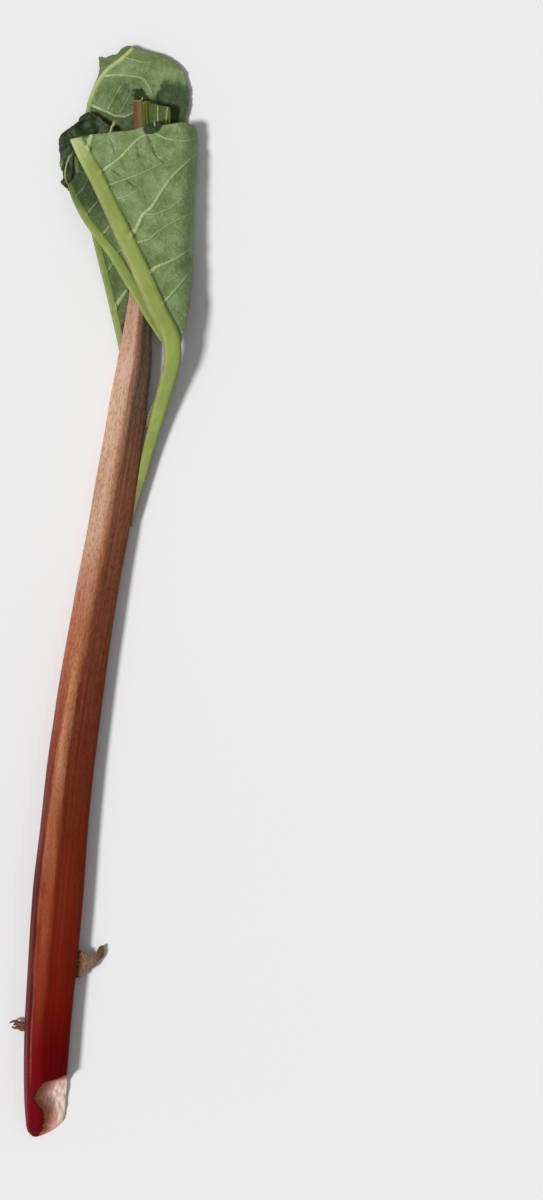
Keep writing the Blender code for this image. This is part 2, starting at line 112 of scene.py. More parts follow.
# Soft lengthwise ribs: direction in degrees up from +X, width in degrees, height low and high up.
RIBS = ((172, 8, 0.1, 0.06), (92, 7, 0.12, 0.04), (70, 8, 0.16, 0.06), (47, 8, 0.14, 0.05),
        (24, 9, 0.16, 0.06), (352, 9, 0.18, 0.1), (325, 8, 0.2, 0.12), (300, 8, 0.2, 0.12),
        (243, 8, 0.2, 0.12), (218, 8, 0.22, 0.12), (196, 8, 0.15, 0.08))
RIBS_CHANGE = (120.0, 320.0)  # where the ribs go from their low height to their high one
RIBS_FADE = (400.0, 440.0)  # where they fade on the cut stub
RIBS_LOSS = 0.7  # how much of them is lost there
SLIM_HALF = 6.0  # the half width below which the ribs shrink with the stem

# The leaf.
SHEET_GRID = 0.5
GRID_GAP = 0.55  # the least gap between inner points, as a share of the grid
VEIN_STEP = 1.5  # how closely places beside a vein follow its path
# Lines of points along a main vein and along a side vein, from the left edge to the right.
RIB_LINES = (-0.97, -0.88, -0.72, -0.5, -0.25, 0.0, 0.25, 0.5, 0.72, 0.88, 0.97)
SIDE_LINES = (-1.1, -0.55, 0.0, 0.55, 1.1)
RIB_CLEARANCE = 0.22  # how far those lines stay from the outline
SIDE_VEIN_REACH = 1.1  # how wide a side vein's ridge is, as a share of its width
SIDE_VEIN_RISE = 0.8  # how high it is, as a share of its half width
SIDE_VEIN_FULL = 0.8  # the half width from which a side vein is fully pale
FAR = 30.0  # the farthest that the nearest vein is taken to be
CORNER_SHARES = (0.2, 0.4, 0.6, 0.8)  # points that join a vein's cut end to the margin
VEIN_SINK = 0.35  # how far the veins show on the other face, as a share
VALLEY = 0.35  # how far the blade sags between its veins
CALM_WIDTH = 2.2  # how far from a vein the blade stays calm
RIM_WIDTH = 0.45  # how wide the brown rim along a margin is
TOOTH_SIZE = 1.3  # lengths of the small and large teeth of a margin
TEAR_SIZE = 4.0
CREASE_ALONG = (0.75, 0.66)  # the directions along and across the blade's long creases
CREASE_ACROSS = (-0.66, 0.75)
CREASE_STRETCH = 3.4  # how much longer than wide the creases are
TEAR_DEPTH = 0.5  # how deep the front lobe's tear and folds are pressed
FOLD_DEPTH = 0.4
MARK_EDGE = (0.6, 1.25)  # where a soft oval mark starts to fade and ends
LINE_EDGE = (-0.4, 1.2)  # how far below its line a darker part starts and is full
FLOOR_GAP = 0.02  # how far the leaf stays above the floor
# The line, as x for each y, past which the front lobe bends down, and the bend's radius.
DRAPE_X = ((345, 32.0), (356, 29.0), (366, 25.5), (378, 22.8), (400, 20.5), (450, 18.0))
DRAPE_RADIUS = 8.0
STRAND_STEP = 0.05
SHARP_EDGE = 60.0  # edges that turn by more degrees than this stay sharp


@dataclass
class Lobe:
    """One lobe or scrap of leaf: its margin, levels and veins, in millimetres."""

    margin: tuple
    levels: tuple  # heights of the middle surface, as (x, y, z)
    vein: tuple = ()  # the main vein, as (x, y, half width)
    vein_levels: tuple = ()  # the heights at the main vein's first points
    side_veins: tuple = ()
    bare: float = 0.0  # the length of the vein's root that carries no blade
    vein_edge: float = math.inf  # the length along which the vein is the left edge
    draped: bool = False
    crumple: float = 0.25  # how far the blade waves up and down
    crumple_size: float = 9.0
    ragged: float = 0.18  # how far the margin strays from its smooth line
    thickness: float = 0.55
    seed: float = 0.0


FRONT = Lobe(
    vein=((12.6, 268, 0.8), (15, 284, 1.6), (17.2, 300, 2.4), (20, 316, 3), (23.2, 333, 3.6),
        (24.9, 344, 3.9), (23.2, 353.5, 4.1), (16.6, 364.5, 4.1), (10.9, 375, 4.1), (4.5, 386.4, 4),
        (-2, 397.3, 3.9), (-9.2, 409.6, 3.7), (-15.7, 420.6, 3.6), (-22.2, 430.7, 3.5),
        (-27.6, 439.1, 2.9)),
    margin=((-25.8, 438.6), (-24.4, 439.7), (-22.3, 439.9), (-20.2, 440.6), (-11.7, 442.3), (-2.4, 444.2),
        (2.2, 445.8), (3.2, 444.9), (6.1, 443.6), (8.1, 444.9), (9.1, 447.3), (13.1, 448.2), (20, 449.8),
        (27, 448.3), (31, 441), (33, 430), (35, 415), (35, 400), (33, 386), (31, 372), (29, 361)),
    vein_levels=(4.4, 4.4, 4.8, 6.2, 9.2, 11.8, 14),
    levels=((28, 364, 13.6), (16.6, 364.5, 15.6), (10.9, 375, 16.2), (4.5, 386.4, 16.2), (-2, 397.3, 15.6),
        (-9.2, 409.6, 14.4), (-15.9, 420.5, 13), (-22.4, 430.6, 11.4), (-28.1, 439.8, 10), (22, 366, 14.8),
        (16, 385, 15.6), (24, 385, 14.4), (22, 410, 13.6), (8, 410, 14.6), (0, 425, 13.6), (12, 430, 13.4),
        (22, 430, 12.8), (-18, 441, 10.8), (-6, 444, 11.6), (3, 446, 12), (13, 447, 11.4), (22, 446, 11)),
    side_veins=(
        ((-22, 431.4, 1.6), (-21.5, 433.2, 1.3), (-21, 436.5, 1.05), (-20.5, 439.5, 1), (-20.4, 441.4, 1)),
        ((-15.6, 422.4, 1.1), (-14, 424.6, 0.9), (-9.9, 428.4, 0.75), (-5.9, 432.4, 0.65),
         (-2.4, 436.8, 0.6), (0.4, 440.2, 0.55), (3.7, 442.4, 0.45), (7, 443.2, 0.35)),
        ((3.6, 443.4, 0.35), (5, 444, 0.5), (8.7, 443.3, 0.55), (13.8, 441.6, 0.45), (20, 441.5, 0.4),
         (27, 444, 0.3)),
        ((-11.6, 416.9, 0.7), (-10.2, 418.4, 0.5), (-5.4, 420.9, 0.4), (0.3, 423.6, 0.4),
         (5.4, 426.3, 0.35), (12, 430.4, 0.25)),
        ((1.2, 396, 1.2), (3.5, 400, 1), (6, 406.7, 0.85), (9.2, 410.2, 0.75), (12.9, 417.5, 0.65),
         (18, 426, 0.5), (24, 433, 0.4), (29, 438, 0.3)),
        ((6, 406.7, 0.45), (11, 407.6, 0.35), (17, 410.5, 0.3), (24, 417, 0.25)),
        ((-5.8, 413, 0.4), (-2.2, 414.3, 0.35), (2.5, 417.5, 0.25)),
        ((5.1, 394.1, 0.6), (9.5, 395.9, 0.4), (12.8, 399.4, 0.35), (20, 405, 0.3), (28, 410, 0.25)),
        ((12.2, 381.7, 1), (13.8, 383.7, 0.8), (15.5, 384.7, 0.7), (22, 388.5, 0.5), (31, 396, 0.3)),
        ((17.5, 367, 0.6), (22, 373, 0.5), (29, 383, 0.3)),
    ),
    bare=84, draped=True, crumple=0.42, crumple_size=9, ragged=0.22, seed=3)

SIDE = Lobe(
    vein=((15, 312, 0.9), (18.3, 322, 1.3), (21.2, 330, 1.5), (23.2, 338, 1.7), (23.6, 345, 1.9),
        (22, 351.1, 2.1), (19.5, 354.3, 2.3), (16.2, 358.6, 2.5), (12.9, 362.8, 2.6), (6.9, 371.3, 2.65),
        (0.7, 379.8, 2.65), (-5.5, 388.1, 2.5), (-9.4, 392.2, 2.2), (-13.3, 396.3, 2), (-20.5, 404.6, 1.8),
        (-25.8, 412.9, 1.5), (-28.6, 418.6, 1.1)),
    margin=((-27.6, 419.3), (-26.6, 421.5), (-24, 424.5), (-20.5, 427), (-15, 424), (-9, 415), (-3, 405),
        (2, 396), (8, 386.5), (13, 377), (17, 368), (20.5, 361)),
    vein_levels=(4.2, 4.4, 5, 6.4, 8.2, 9.8, 10.6, 11.3, 11.9, 12.3, 12.1, 11.1, 10.5, 9.8, 8.6, 7.4, 6.8),
    levels=((20, 362, 10.8), (15, 370, 12.1), (8, 386, 12.2), (2, 396, 11.3), (-6, 410, 9.2),
        (-16, 424, 7.6), (-24, 424.5, 7)),
    side_veins=(
        ((-19.6, 404.6, 0.65), (-17.2, 408.4, 0.5), (-13, 414, 0.35)),
        ((-11.8, 396.2, 0.6), (-8.6, 400.5, 0.45), (-5, 404.5, 0.3)),
        ((-4, 388.4, 0.5), (-0.5, 392.5, 0.35)),
        ((-25, 413, 0.5), (-21.5, 418, 0.4), (-20, 424, 0.3)),
    ),
    bare=49, crumple=0.42, crumple_size=7, seed=11)

OUTER = Lobe(
    vein=((4.6, 336, 1.3), (0.9, 350, 1.7), (-2.1, 359.3, 1.75), (-4.7, 367, 1.75), (-7.4, 375.2, 1.75),
        (-10.3, 383.2, 1.75), (-13.5, 392.6, 1.75), (-15.5, 398.6, 1.7), (-19, 409, 1.5), (-24, 421, 1.2),
        (-27, 431, 0.9)),
    margin=((-22, 409), (-27, 414), (-30.9, 417.4), (-32.9, 418.6), (-32, 421.4), (-34, 427.5),
        (-33.9, 429.9), (-35, 434.7), (-35.4, 438.7), (-34.4, 440.4), (-32.2, 442.3), (-28.2, 446),
        (-26.2, 449.2), (-23.1, 451.4), (-19.5, 450), (-15.5, 447.3), (-11.5, 444.6), (-9, 436), (-12, 424),
        (-14, 412), (-12, 402), (-8, 394), (-3.5, 386), (0.5, 378), (2.2, 370), (2.2, 362)),
    vein_levels=(2.4, 2, 1.9),
    levels=((-7.4, 375, 2.4), (2, 370, 1.9), (-2, 383, 3), (-10.3, 383, 3), (-13.5, 392.6, 3.6),
        (-8, 394, 3.8), (-19, 408, 4), (-13, 410, 4.2), (-30, 421, 3.4), (-34, 430, 3.6), (-34.5, 438, 4),
        (-30, 430, 4.6), (-25, 440, 4.8), (-20, 430, 4.6), (-12, 436, 4.6), (-12, 444, 4.4),
        (-23, 450, 4.6)),
    side_veins=(
        ((-4, 362.6, 1.1), (-2.2, 367.5, 1), (1.2, 373.6, 0.7)),
        ((-9, 379.5, 0.5), (-6, 385, 0.4), (-4, 389, 0.3)),
    ),
    bare=22, vein_edge=67, crumple=1.15, crumple_size=10, ragged=0.4, seed=23)

BACK = Lobe(
    vein=((6.6, 350, 1), (4.5, 366, 1.2), (-5.5, 392, 1.3), (-14, 410, 1.3), (-21, 428, 1.2),
        (-23.9, 445, 1.1), (-23.4, 454.7, 1), (-21.3, 462.4, 0.9), (-16.6, 470.6, 0.8), (-9.9, 477, 0.7),
        (-6.2, 481.4, 0.6)),
    margin=((-20.3, 467.5), (-20.2, 471), (-21.2, 477.3), (-18.5, 476.2), (-15.8, 477.9), (-13.2, 478.3),
        (-11.2, 481.2), (-7.6, 482.6), (-5, 481.4), (2.3, 480.7), (7.4, 479.8), (13, 477.5), (18.5, 471),
        (21, 461), (20, 450), (17, 436), (14, 418), (10.5, 398), (7, 384)),
    vein_levels=(1.9, 1.5, 1, 0.95, 0.95, 1.1, 2, 3.6, 4.8, 4.8, 4.4),
    levels=((-20.6, 474, 2.2), (-13, 479, 2.8), (7, 384, 0.6), (14, 418, 0.7), (0, 430, 0.8), (17, 436, 1),
        (0, 452, 1.4), (-12, 452, 1.5), (20, 450, 1.8), (-8, 466, 3.6), (2, 466, 2.6), (2, 480, 3.8),
        (13, 477, 2.4), (20, 461, 1.8), (0, 459, 1.6)),
    side_veins=(
        ((-18.2, 468, 0.7), (-11.5, 469.1, 0.6), (-4.9, 469.4, 0.5), (-1.2, 469.1, 0.5), (1.3, 467.3, 0.45),
         (3.4, 464.4, 0.35), (4.2, 462.6, 0.25)),
        ((-23.4, 455.4, 0.9), (-19, 453.8, 0.75), (-14.9, 452.6, 0.7), (-11.1, 451.2, 0.65),
         (-7.2, 451.3, 0.6), (-3.7, 453.2, 0.5), (0, 455.5, 0.4)),
        ((-9.6, 477.2, 0.5), (-6, 476.6, 0.45), (-1.5, 476, 0.4), (3, 476.6, 0.3)),
        ((-9, 453.2, 0.3), (-7, 457.5, 0.25), (-5, 462, 0.2)),
        ((-14.5, 454, 0.3), (-12.6, 459, 0.25), (-9.6, 464.5, 0.2)),
        ((-23, 440, 0.8), (-8, 436, 0.5), (8, 438, 0.3)),
        ((-19, 422, 0.8), (-4, 416, 0.5), (10, 414, 0.3)),
    ),
    bare=40, vein_edge=118, crumple=0.45, crumple_size=7, ragged=0.3, seed=37)

STRIP = Lobe(
    margin=((11.2, 403), (9.8, 415), (8.4, 424), (6.5, 436), (4.7, 448), (3.4, 457.4), (8.5, 457),
        (12.8, 456.5), (14, 448), (15.5, 435), (15, 420), (13.6, 409)),
    levels=((11.2, 403, 7.2), (8.4, 424, 7.2), (4.7, 448, 7.6), (3.4, 457, 7.6), (12.8, 456.5, 6.6),
        (15.5, 435, 6.4), (13.6, 409, 6.8)),
    side_veins=(
        ((9.4, 436, 0.5), (8.4, 448, 0.45), (7.6, 457, 0.4)),
        ((9.8, 424, 0.5), (11.5, 440, 0.45), (12, 456, 0.4)),
    ),
    crumple=0.22, crumple_size=6, ragged=0.12, seed=41)

# The scrap of blade that has curled over in the front lobe's nick, dark side up.
CURL = Lobe(
    margin=((2.2, 444.4), (3, 446.4), (5.2, 448.2), (8.3, 449), (9.8, 447.3), (8.4, 444.6), (5.9, 442.9),
        (3.6, 443.1)),
    levels=((2.2, 444.4, 12.9), (5.2, 448.2, 12.3), (9.8, 447.3, 12.2), (5.9, 442.9, 13.1),
        (6, 445.8, 12.8)),
    crumple=0.3, crumple_size=3, ragged=0.2, thickness=0.4, seed=67)

FLAP = Lobe(
    margin=((6.4, 77), (6.2, 64), (9.2, 64.6), (11.6, 67.4), (14.8, 69.6), (16.7, 72.6), (18.7, 75.6),
        (18.2, 79.4), (16.4, 78.6), (14.9, 75.5), (12.5, 73.5), (10, 76)),
    levels=((6.4, 77, 5.6), (6.2, 64, 5.3), (12, 67, 4), (15.5, 70, 2.8), (18.7, 75.6, 1.4),
        (18.2, 79.4, 1.6), (12.5, 73.5, 4.4), (17, 75, 2.4)),
    crumple=0.4, crumple_size=5, ragged=0.35, thickness=0.3, seed=53)

# Marks on the front lobe, as (x, y, half width): its tear, the green hollow in the fork at its
# vein's top, darkened with painted shade, and short folds pressed into its blade, also darkened
# with painted shade.
TEAR = ((3.2, 445.6, 0.4), (4.6, 442, 0.6), (6, 439.6, 1), (7.2, 437, 0.9), (8.4, 434.6, 0.45),
    (9.8, 433, 0.3), (13.5, 430.6, 0.25))
NOTCH = ((-24.7, 440.2, 1.2), (-23.4, 438, 1), (-22.2, 435.6, 0.4))
FOLDS = (
    ((-11.9, 439.2, 0.3), (-10.6, 436.4, 0.7), (-9.2, 433, 0.3)),
    ((-14.2, 425.4, 0.4), (-10.6, 428.3, 0.7), (-6.6, 431.6, 0.4)),
    ((-9.8, 425.6, 0.3), (-7.8, 424.3, 0.6), (-5.6, 423.2, 0.3)),
    ((-2.6, 421.4, 0.3), (-0.4, 419.9, 0.5), (1.6, 418.9, 0.3)),
    ((0.2, 437.4, 0.3), (1.2, 434.6, 0.6), (1.4, 431.8, 0.3)),
)
BLUSH_END = 185.0  # how far up the front vein its reddish edge runs

# Soft oval marks, as (x, y, half size across, half size along).
FORK = (-22.6, 436, 2.2, 3.4)  # the fleshy fork where a side vein leaves the front vein
WEB = (-23, 439.6, 1.6, 1.1)  # the bruised web beside the front vein's cut end
BRUISE = (-33.6, 434.5, 1.3, 3.2)  # the purple-grey patch on the outer lobe's margin
PALE_EDGE = (-33.4, 426.5, 1, 4)  # where the outer lobe's margin shows its pale side
HOLLOW_SHADE = (-1.2, 460.4, 4.4, 4.6)  # painted shade in the deep fold of the back lobe
SHADE = (-6, 459.5, 7, 7.5)  # painted shade over the middle of the back lobe
# Where painted shade starts below the back lobe's two main side veins, as y for each x.
BACK_UPPER_LINE = ((-23, 466), (-18.2, 468), (-11.5, 469.1), (-1.2, 469.1), (4.2, 464.6), (20, 458))
BACK_LOWER_LINE = ((-24, 456), (-19, 453.8), (-14.9, 452.6), (-7.2, 451.3), (-3.7, 453.2), (20, 456))
UPPER_SIDE = (404.0, 412.0)  # where along y the outer lobe turns to show its dark upper side

# The wisp of dry skin: three shrunken strands, as (x, y, z, thickness).
WISPS = (
    ((-12, 41, 5, 1.3), (-14.6, 40.8, 4.8, 1.2), (-17, 41.6, 4, 0.8), (-18.9, 41.9, 3.2, 0.55),
     (-20.4, 41, 2.8, 0.35)),
    ((-12, 39.6, 4.2, 1.3), (-14.8, 39, 3.9, 1.1), (-16.8, 39.3, 3.2, 0.8), (-18.3, 38.9, 2.6, 0.5),
     (-19.4, 39.4, 2.3, 0.3)),
    ((-12.2, 40.2, 3.6, 1.2), (-15.4, 40, 3.2, 0.9), (-17.4, 40.6, 2.6, 0.6), (-18.8, 40.2, 2.4, 0.35)),
)
# The fibre peeled off the side lobe's vein, and torn slivers at the cut margins.
FIBRE = ((-29.4, 418.2, 7.4, 0.6), (-30.5, 420.5, 8.3, 0.55), (-30.8, 423, 8.7, 0.45),
    (-30.5, 427, 8.3, 0.42), (-29.7, 429.8, 7.9, 0.46), (-28.5, 431.8, 7.5, 0.42),
    (-27.9, 433.3, 7.2, 0.25))
SLIVERS = (
    ((-12.8, 441.1, 10.5, 0.25), (-12.2, 442.8, 11.1, 0.4), (-11.6, 444.8, 12, 0.55),
     (-10.7, 446.9, 12.6, 0.8), (-10.4, 448.2, 13, 0.12)),
    ((7.4, 446.8, 12.7, 0.42), (7.1, 448.2, 13.1, 0.38), (6.8, 449.6, 13.3, 0.1)),
    ((0.3, 456.8, 8.6, 0.4), (0.4, 458.4, 9, 0.32), (0.5, 460, 9.2, 0.1)),
)
# How brown the strands are along their length, as (share of the length, share of brown).
WISP_BROWNING = ((0, 0.95), (1, 1))
FIBRE_BROWNING = ((0, 0.9), (0.3, 0.25), (0.75, 0), (0.9, 0.7), (1, 1))
SLIVER_BROWNING = ((0, 0), (0.7, 0.1), (1, 0.9))


class RhubarbSettings(bpy.types.PropertyGroup):
    """The sizes and colours that a user would change."""

    rib_depth: FloatProperty(
        name="Rib depth", description="Scale of the stem's soft lengthwise ribs",
        default=1.0, min=0.0, max=3.0)
    vein_rise: FloatProperty(
        name="Vein rise", description="Height of the main veins per half width",
        default=0.38, min=0.2, max=1.5)
    crumple: FloatProperty(
        name="Crumple", description="Scale of the leaf's waves and crumples",
        default=1.0, min=0.0, max=2.0)
    gloss: FloatProperty(
        name="Skin roughness", description="Roughness of the stem's skin",
        default=0.34, min=0.05, max=1.0, subtype="FACTOR")
    blade_colour: FloatVectorProperty(
        name="Blade", description="Colour of the leaf's pale underside",
        default=(0.205, 0.29, 0.112), min=0.0, max=1.0, subtype="COLOR")
    upper_colour: FloatVectorProperty(
        name="Upper side", description="Colour of the leaf's dark upper side",
        default=(0.018, 0.046, 0.009), min=0.0, max=1.0, subtype="COLOR")
    vein_colour: FloatVectorProperty(
        name="Vein", description="Colour of the thick veins",
        default=(0.3, 0.365, 0.088), min=0.0, max=1.0, subtype="COLOR")
    fine_vein_colour: FloatVectorProperty(
        name="Side vein", description="Colour of the thin veins",
        default=(0.5, 0.58, 0.27), min=0.0, max=1.0, subtype="COLOR")
    floor_colour: FloatVectorProperty(
        name="Floor", description="Colour of the studio floor",
        default=(0.86, 0.86, 0.86), min=0.0, max=1.0, subtype="COLOR")
    key_strength: FloatProperty(
        name="Key light", description="Strength of the soft light from the left",
        default=2.8, min=0.0, max=50.0)
    sky_strength: FloatProperty(
        name="Sky", description="Strength of the even light from all round",
        default=0.3, min=0.0, max=5.0)


def curve(table, at):
    """Read the smooth curve through the table's rows, which never swings past them."""
    rows = np.array(table, dtype=float)
    places, values = rows[:, 0], rows[:, 1:]
    gaps = np.diff(places)[:, None]
    rises = np.diff(values, axis=0) / gaps
    before, after = rises[:-1], rises[1:]
    same_way = before * after > 0.0
    total = np.where(same_way, before + after, 1.0)
    slopes = np.concatenate((rises[:1], np.where(same_way, 2 * before * after / total, 0.0),
                             rises[-1:]))
    at = np.clip(np.atleast_1d(np.asarray(at, dtype=float)), places[0], places[-1])
    left = np.clip(np.searchsorted(places, at, side="right") - 1, 0, len(places) - 2)
    gap = gaps[left]
    t = (at - places[left])[:, None] / gap
    result = ((2 * t**3 - 3 * t**2 + 1) * values[left] + (t**3 - 2 * t**2 + t) * gap * slopes[left]
              + (3 * t**2 - 2 * t**3) * values[left + 1] + (t**3 - t**2) * gap * slopes[left + 1])
    return result[:, 0] if result.shape[1] == 1 else result


def smooth_path(points, step):
    """Sample the smooth curve through the points about every step; also give the lengths."""
    points = np.array(points, dtype=float)
    runs = np.linalg.norm(np.diff(points[:, :2], axis=0), axis=1)
    along = np.concatenate(([0.0], np.cumsum(runs)))
    lengths = np.linspace(0.0, along[-1], max(2, int(along[-1] / step) + 1))
    return curve(np.column_stack((along, points)), lengths), lengths


def field(places, size, seed=0.0, octaves=1):
    """Smooth noise from about -1 to 1 at each place, with features of the given size."""
    shift = Vector((seed, seed * 0.7, -seed))
    result = np.zeros(len(places))
    for index, place in enumerate(places):
        point = Vector(place) / size + shift
        value, share = 0.0, 1.0
        for _ in range(octaves):
            value += share * noise.noise(point)
            point = point * 2.1
            share *= 0.5
        result[index] = value
    return result


def smooth_step(low, high, values):
    """Rise from 0 at low to 1 at high with a soft start and end."""
    share = np.clip((values - low) / (high - low), 0.0, 1.0)
    return share * share * (3.0 - 2.0 * share)


def hump(away, width):
    """1 where away is 0, falling softly to 0 past the width."""
    return np.exp(-(away / width) ** 2)


def turned(angles, start):
    """The angles counted from a start angle, from minus half a turn to half a turn."""
    return np.angle(np.exp(1j * (angles - start)))


def with_zero(places):
    """The flat places with a third coordinate of 0."""
    return np.column_stack((places, np.zeros(len(places))))


def section_radius(angles, facets, sharpness):
    """Reach of a many-sided section with rounded corners, for each direction."""
    total = 0.0
    for facing, distance in facets:
        share = np.maximum(np.cos(angles - np.radians(facing)), 0.0) / distance
        total = total + share ** sharpness
    return total ** (-1.0 / sharpness)


def stem_ring(y, angles, rib_depth):
    """One ring of the stalk's skin at y, and where its long edge is, as an angle."""
    half, height = curve(WIDTH, y)[0] / 2, curve(HEIGHT, y)[0]
    core = CORE_LEVEL * height
    ridge = np.array((curve(RIDGE, y)[0] * half, height - core))
    facets = [(side, half) for side in SIDE_FACES]
    facets += [(lower, LOWER_REACH * (half + core) / 2) for lower in LOWER_FACES]
    facets.append((UNDERSIDE, core))
    for face in (curve(LEFT_FACE, y)[0], curve(RIGHT_FACE, y)[0]):
        looks = np.array((math.cos(math.radians(face)), math.sin(math.radians(face))))
        facets.append((face, ridge @ looks))
    reach = section_radius(angles, facets, curve(SHARPNESS, y)[0])
    x, z = reach * np.cos(angles), reach * np.sin(angles)
    low_share = 1.0 - smooth_step(*RIBS_CHANGE, y)
    strength = min(1.0, half / SLIM_HALF) * rib_depth
    strength *= 1.0 - RIBS_LOSS * smooth_step(*RIBS_FADE, y)
    relief = np.zeros_like(angles)
    for facing, width, low, high in RIBS:
        away = np.degrees(np.abs(turned(angles, math.radians(facing))))
        relief += (high + (low - high) * low_share) * hump(away, width)
    x = (x - x.min()) / np.ptp(x) * 2 * half - half
    z = (z - z.min()) / np.ptp(z) * (height + FLAT) - FLAT
    x += relief * strength * np.cos(angles)
    z += relief * strength * np.sin(angles)
    x += curve(AXIS_X, y)[0]
    z = np.maximum(z, 0.0) + curve(LIFT, y)[0]
    return np.column_stack((x, np.full_like(x, y), z)), math.atan2(ridge[1], ridge[0])


def torn_edge(y):
    """The ragged edge of the torn skin at the base, as x for each y."""
    ragged = field(np.column_stack((y, y * 0.0, y * 0.0)), 1.7, seed=5.0, octaves=2)
    return curve(TORN_EDGE_X, y) + TORN_RAGGED * ragged


def scoop_base(points, around):
    """Scoop out the torn base, and tell how far past the torn edge each place lies."""
    past = np.maximum(points[:, 0] - torn_edge(points[:, 1]), 0.0)
    points[:, 2] *= 1.0 - SCOOP_SHARE * (1.0 - np.exp(-past / SCOOP_RUN))
    inside = smooth_step(0.5, 2.5, past) * (np.sin(around) > -0.2)
    bumps = field(points * (1.0, 0.6, 1.0), 1.8, seed=7.0, octaves=2)
    points[:, 2] += inside * SCOOP_BUMPS * bumps
    points[:, 2] = np.maximum(points[:, 2], 0.0)
    return past * (np.sin(around) > -0.35)


def cut_end(rim):
    """Rings that close the cut end with an uneven face, from its rim inwards."""
    middle = rim.mean(axis=0)
    rings = []
    for share, dip in CUT_RINGS:
        ring = middle + (rim - middle) * (share, 0.4 * share, share)
        ring[:, 1] += -dip + 0.3 * field(ring, 0.9, seed=share * 10, octaves=2)
        rings.append(ring)
    return rings


def stalk_mesh(settings):
    """The stem and midrib: points, faces and what the skin's material reads."""
    base_end, cut_start = BASE_Y + BASE_LENGTH, CUT_Y - CUT_LENGTH
    places = np.concatenate((np.arange(BASE_Y, base_end, BASE_STEP),
                             np.arange(base_end, cut_start, STEM_STEP),
                             np.linspace(cut_start, CUT_Y, CUT_STEPS)))
    angles = np.linspace(0.0, 2 * math.pi, STEM_SIDES, endpoint=False) - math.pi / 2
    rings = [stem_ring(float(y), angles, settings.rib_depth) for y in places]
    points = np.concatenate([ring for ring, _ in rings])
    turn = np.concatenate([turned(angles, ridge) for _, ridge in rings])
    around = np.tile(angles, len(places))
    grain = np.column_stack((10 * np.cos(around), points[:, 1], 10 * np.sin(around)))
    swell = FINE_SWELL * field(grain * (1.0, 0.045, 1.0), 3.2, seed=1.0, octaves=3)
    swell += BROAD_SWELL * field(points * (1.0, 0.5, 1.0), 14.0, seed=2.0)
    upward = np.clip(points[:, 2] / 2.0, 0.0, 1.0)
    points[:, 0] += swell * np.cos(around)
    points[:, 2] += swell * np.maximum(np.sin(around), 0.0) * upward
    torn = scoop_base(points, around)
    uneven = CUT_UNEVEN * field(grain * (1.0, 0.0, 1.0), 2.2, seed=9.0, octaves=3)
    uneven -= NICK[2] * hump(points[:, 0] - NICK[0], NICK[1])
    points[:, 1] += smooth_step(cut_start, CUT_Y, points[:, 1]) * uneven
    rim_start, rim_full = (CUT_Y - below for below in CUT_RIM)
    cut = smooth_step(rim_start, rim_full, grain[:, 1]) * CUT_RIM_SHARE
    end = cut_end(points[-STEM_SIDES:])
    points = np.concatenate((points, *end))
    none = np.zeros(len(end) * STEM_SIDES)
    readings = {
        "turn": np.concatenate((turn, none)),
        "torn": np.concatenate((torn, none)),
        "cut": np.concatenate((cut, none + 1.0)),
        "grain": np.concatenate((grain, *end)),
    }
    return points, tube_faces(len(points) // STEM_SIDES, STEM_SIDES), readings


def tube_faces(rings, sides):
    """Faces of a closed tube with a flat cap at each end."""
    faces = []
    for row in range(rings - 1):
        start, above = row * sides, (row + 1) * sides
        for side in range(sides):
            following = (side + 1) % sides
            faces.append((start + side, start + following, above + following, above + side))
    faces.append(tuple(range(sides))[::-1])
    faces.append(tuple(range((rings - 1) * sides, rings * sides)))
    return faces


def level_surface(levels):
    """Fit a thin springy plate through (x, y, z) points; the result gives z at any places."""
    levels = np.array(levels, dtype=float)
    knots, heights = levels[:, :2], levels[:, 2]

    def bend(places):
        squared = ((places[:, None, :] - knots[None, :, :]) ** 2).sum(axis=2)
        return squared * np.log(squared + 1e-9)

    flat = np.column_stack((np.ones(len(knots)), knots))
    system = np.block([[bend(knots), flat], [flat.T, np.zeros((3, 3))]])
    weights = np.linalg.solve(system, np.concatenate((heights, np.zeros(3))))

    def height_at(places):
        plane = np.column_stack((np.ones(len(places)), places))
        return bend(places) @ weights[:-3] + plane @ weights[-3:]

    return height_at


def beside_vein(vein, places):
    """For each place: distance from the vein's middle, side (+ is right), length along, half width."""
    path, lengths = smooth_path(vein, VEIN_STEP)
    starts, runs = path[:-1], np.diff(path, axis=0)
    offset = places[:, None, :] - starts[None, :, :2]
    share = (offset * runs[None, :, :2]).sum(axis=2) / (runs[:, :2] ** 2).sum(axis=1)
    share = np.clip(share, 0.0, 1.0)
    away = offset - share[:, :, None] * runs[None, :, :2]
    distance = np.linalg.norm(away, axis=2)
    rows, closest = np.arange(len(places)), distance.argmin(axis=1)
    picked = share[rows, closest]
    half = starts[closest, 2] + picked * runs[closest, 2]
    along = lengths[closest] + picked * np.diff(lengths)[closest]
    cross = runs[closest, 0] * away[rows, closest, 1] - runs[closest, 1] * away[rows, closest, 0]
    return distance[rows, closest], -np.sign(cross), along, half


def inside_outline(outline, places):
    """Tell which places lie within the closed outline."""
    inside = np.zeros(len(places), dtype=bool)
    for start, end in zip(outline, np.roll(outline, -1, axis=0)):
        crosses = (start[1] > places[:, 1]) != (end[1] > places[:, 1])
        rise = end[1] - start[1]
        reach = start[0] + (end[0] - start[0]) * (places[:, 1] - start[1]) / (rise if rise else 1.0)
        inside ^= crosses & (places[:, 0] < reach)
    return inside


def distances(places, others):
    """Distance from each place to the nearest of the others, all flat."""
    tree = kdtree.KDTree(len(others))
    for index, other in enumerate(others):
        tree.insert((other[0], other[1], 0.0), index)
    tree.balance()
    return np.array([tree.find((place[0], place[1], 0.0))[2] for place in places])


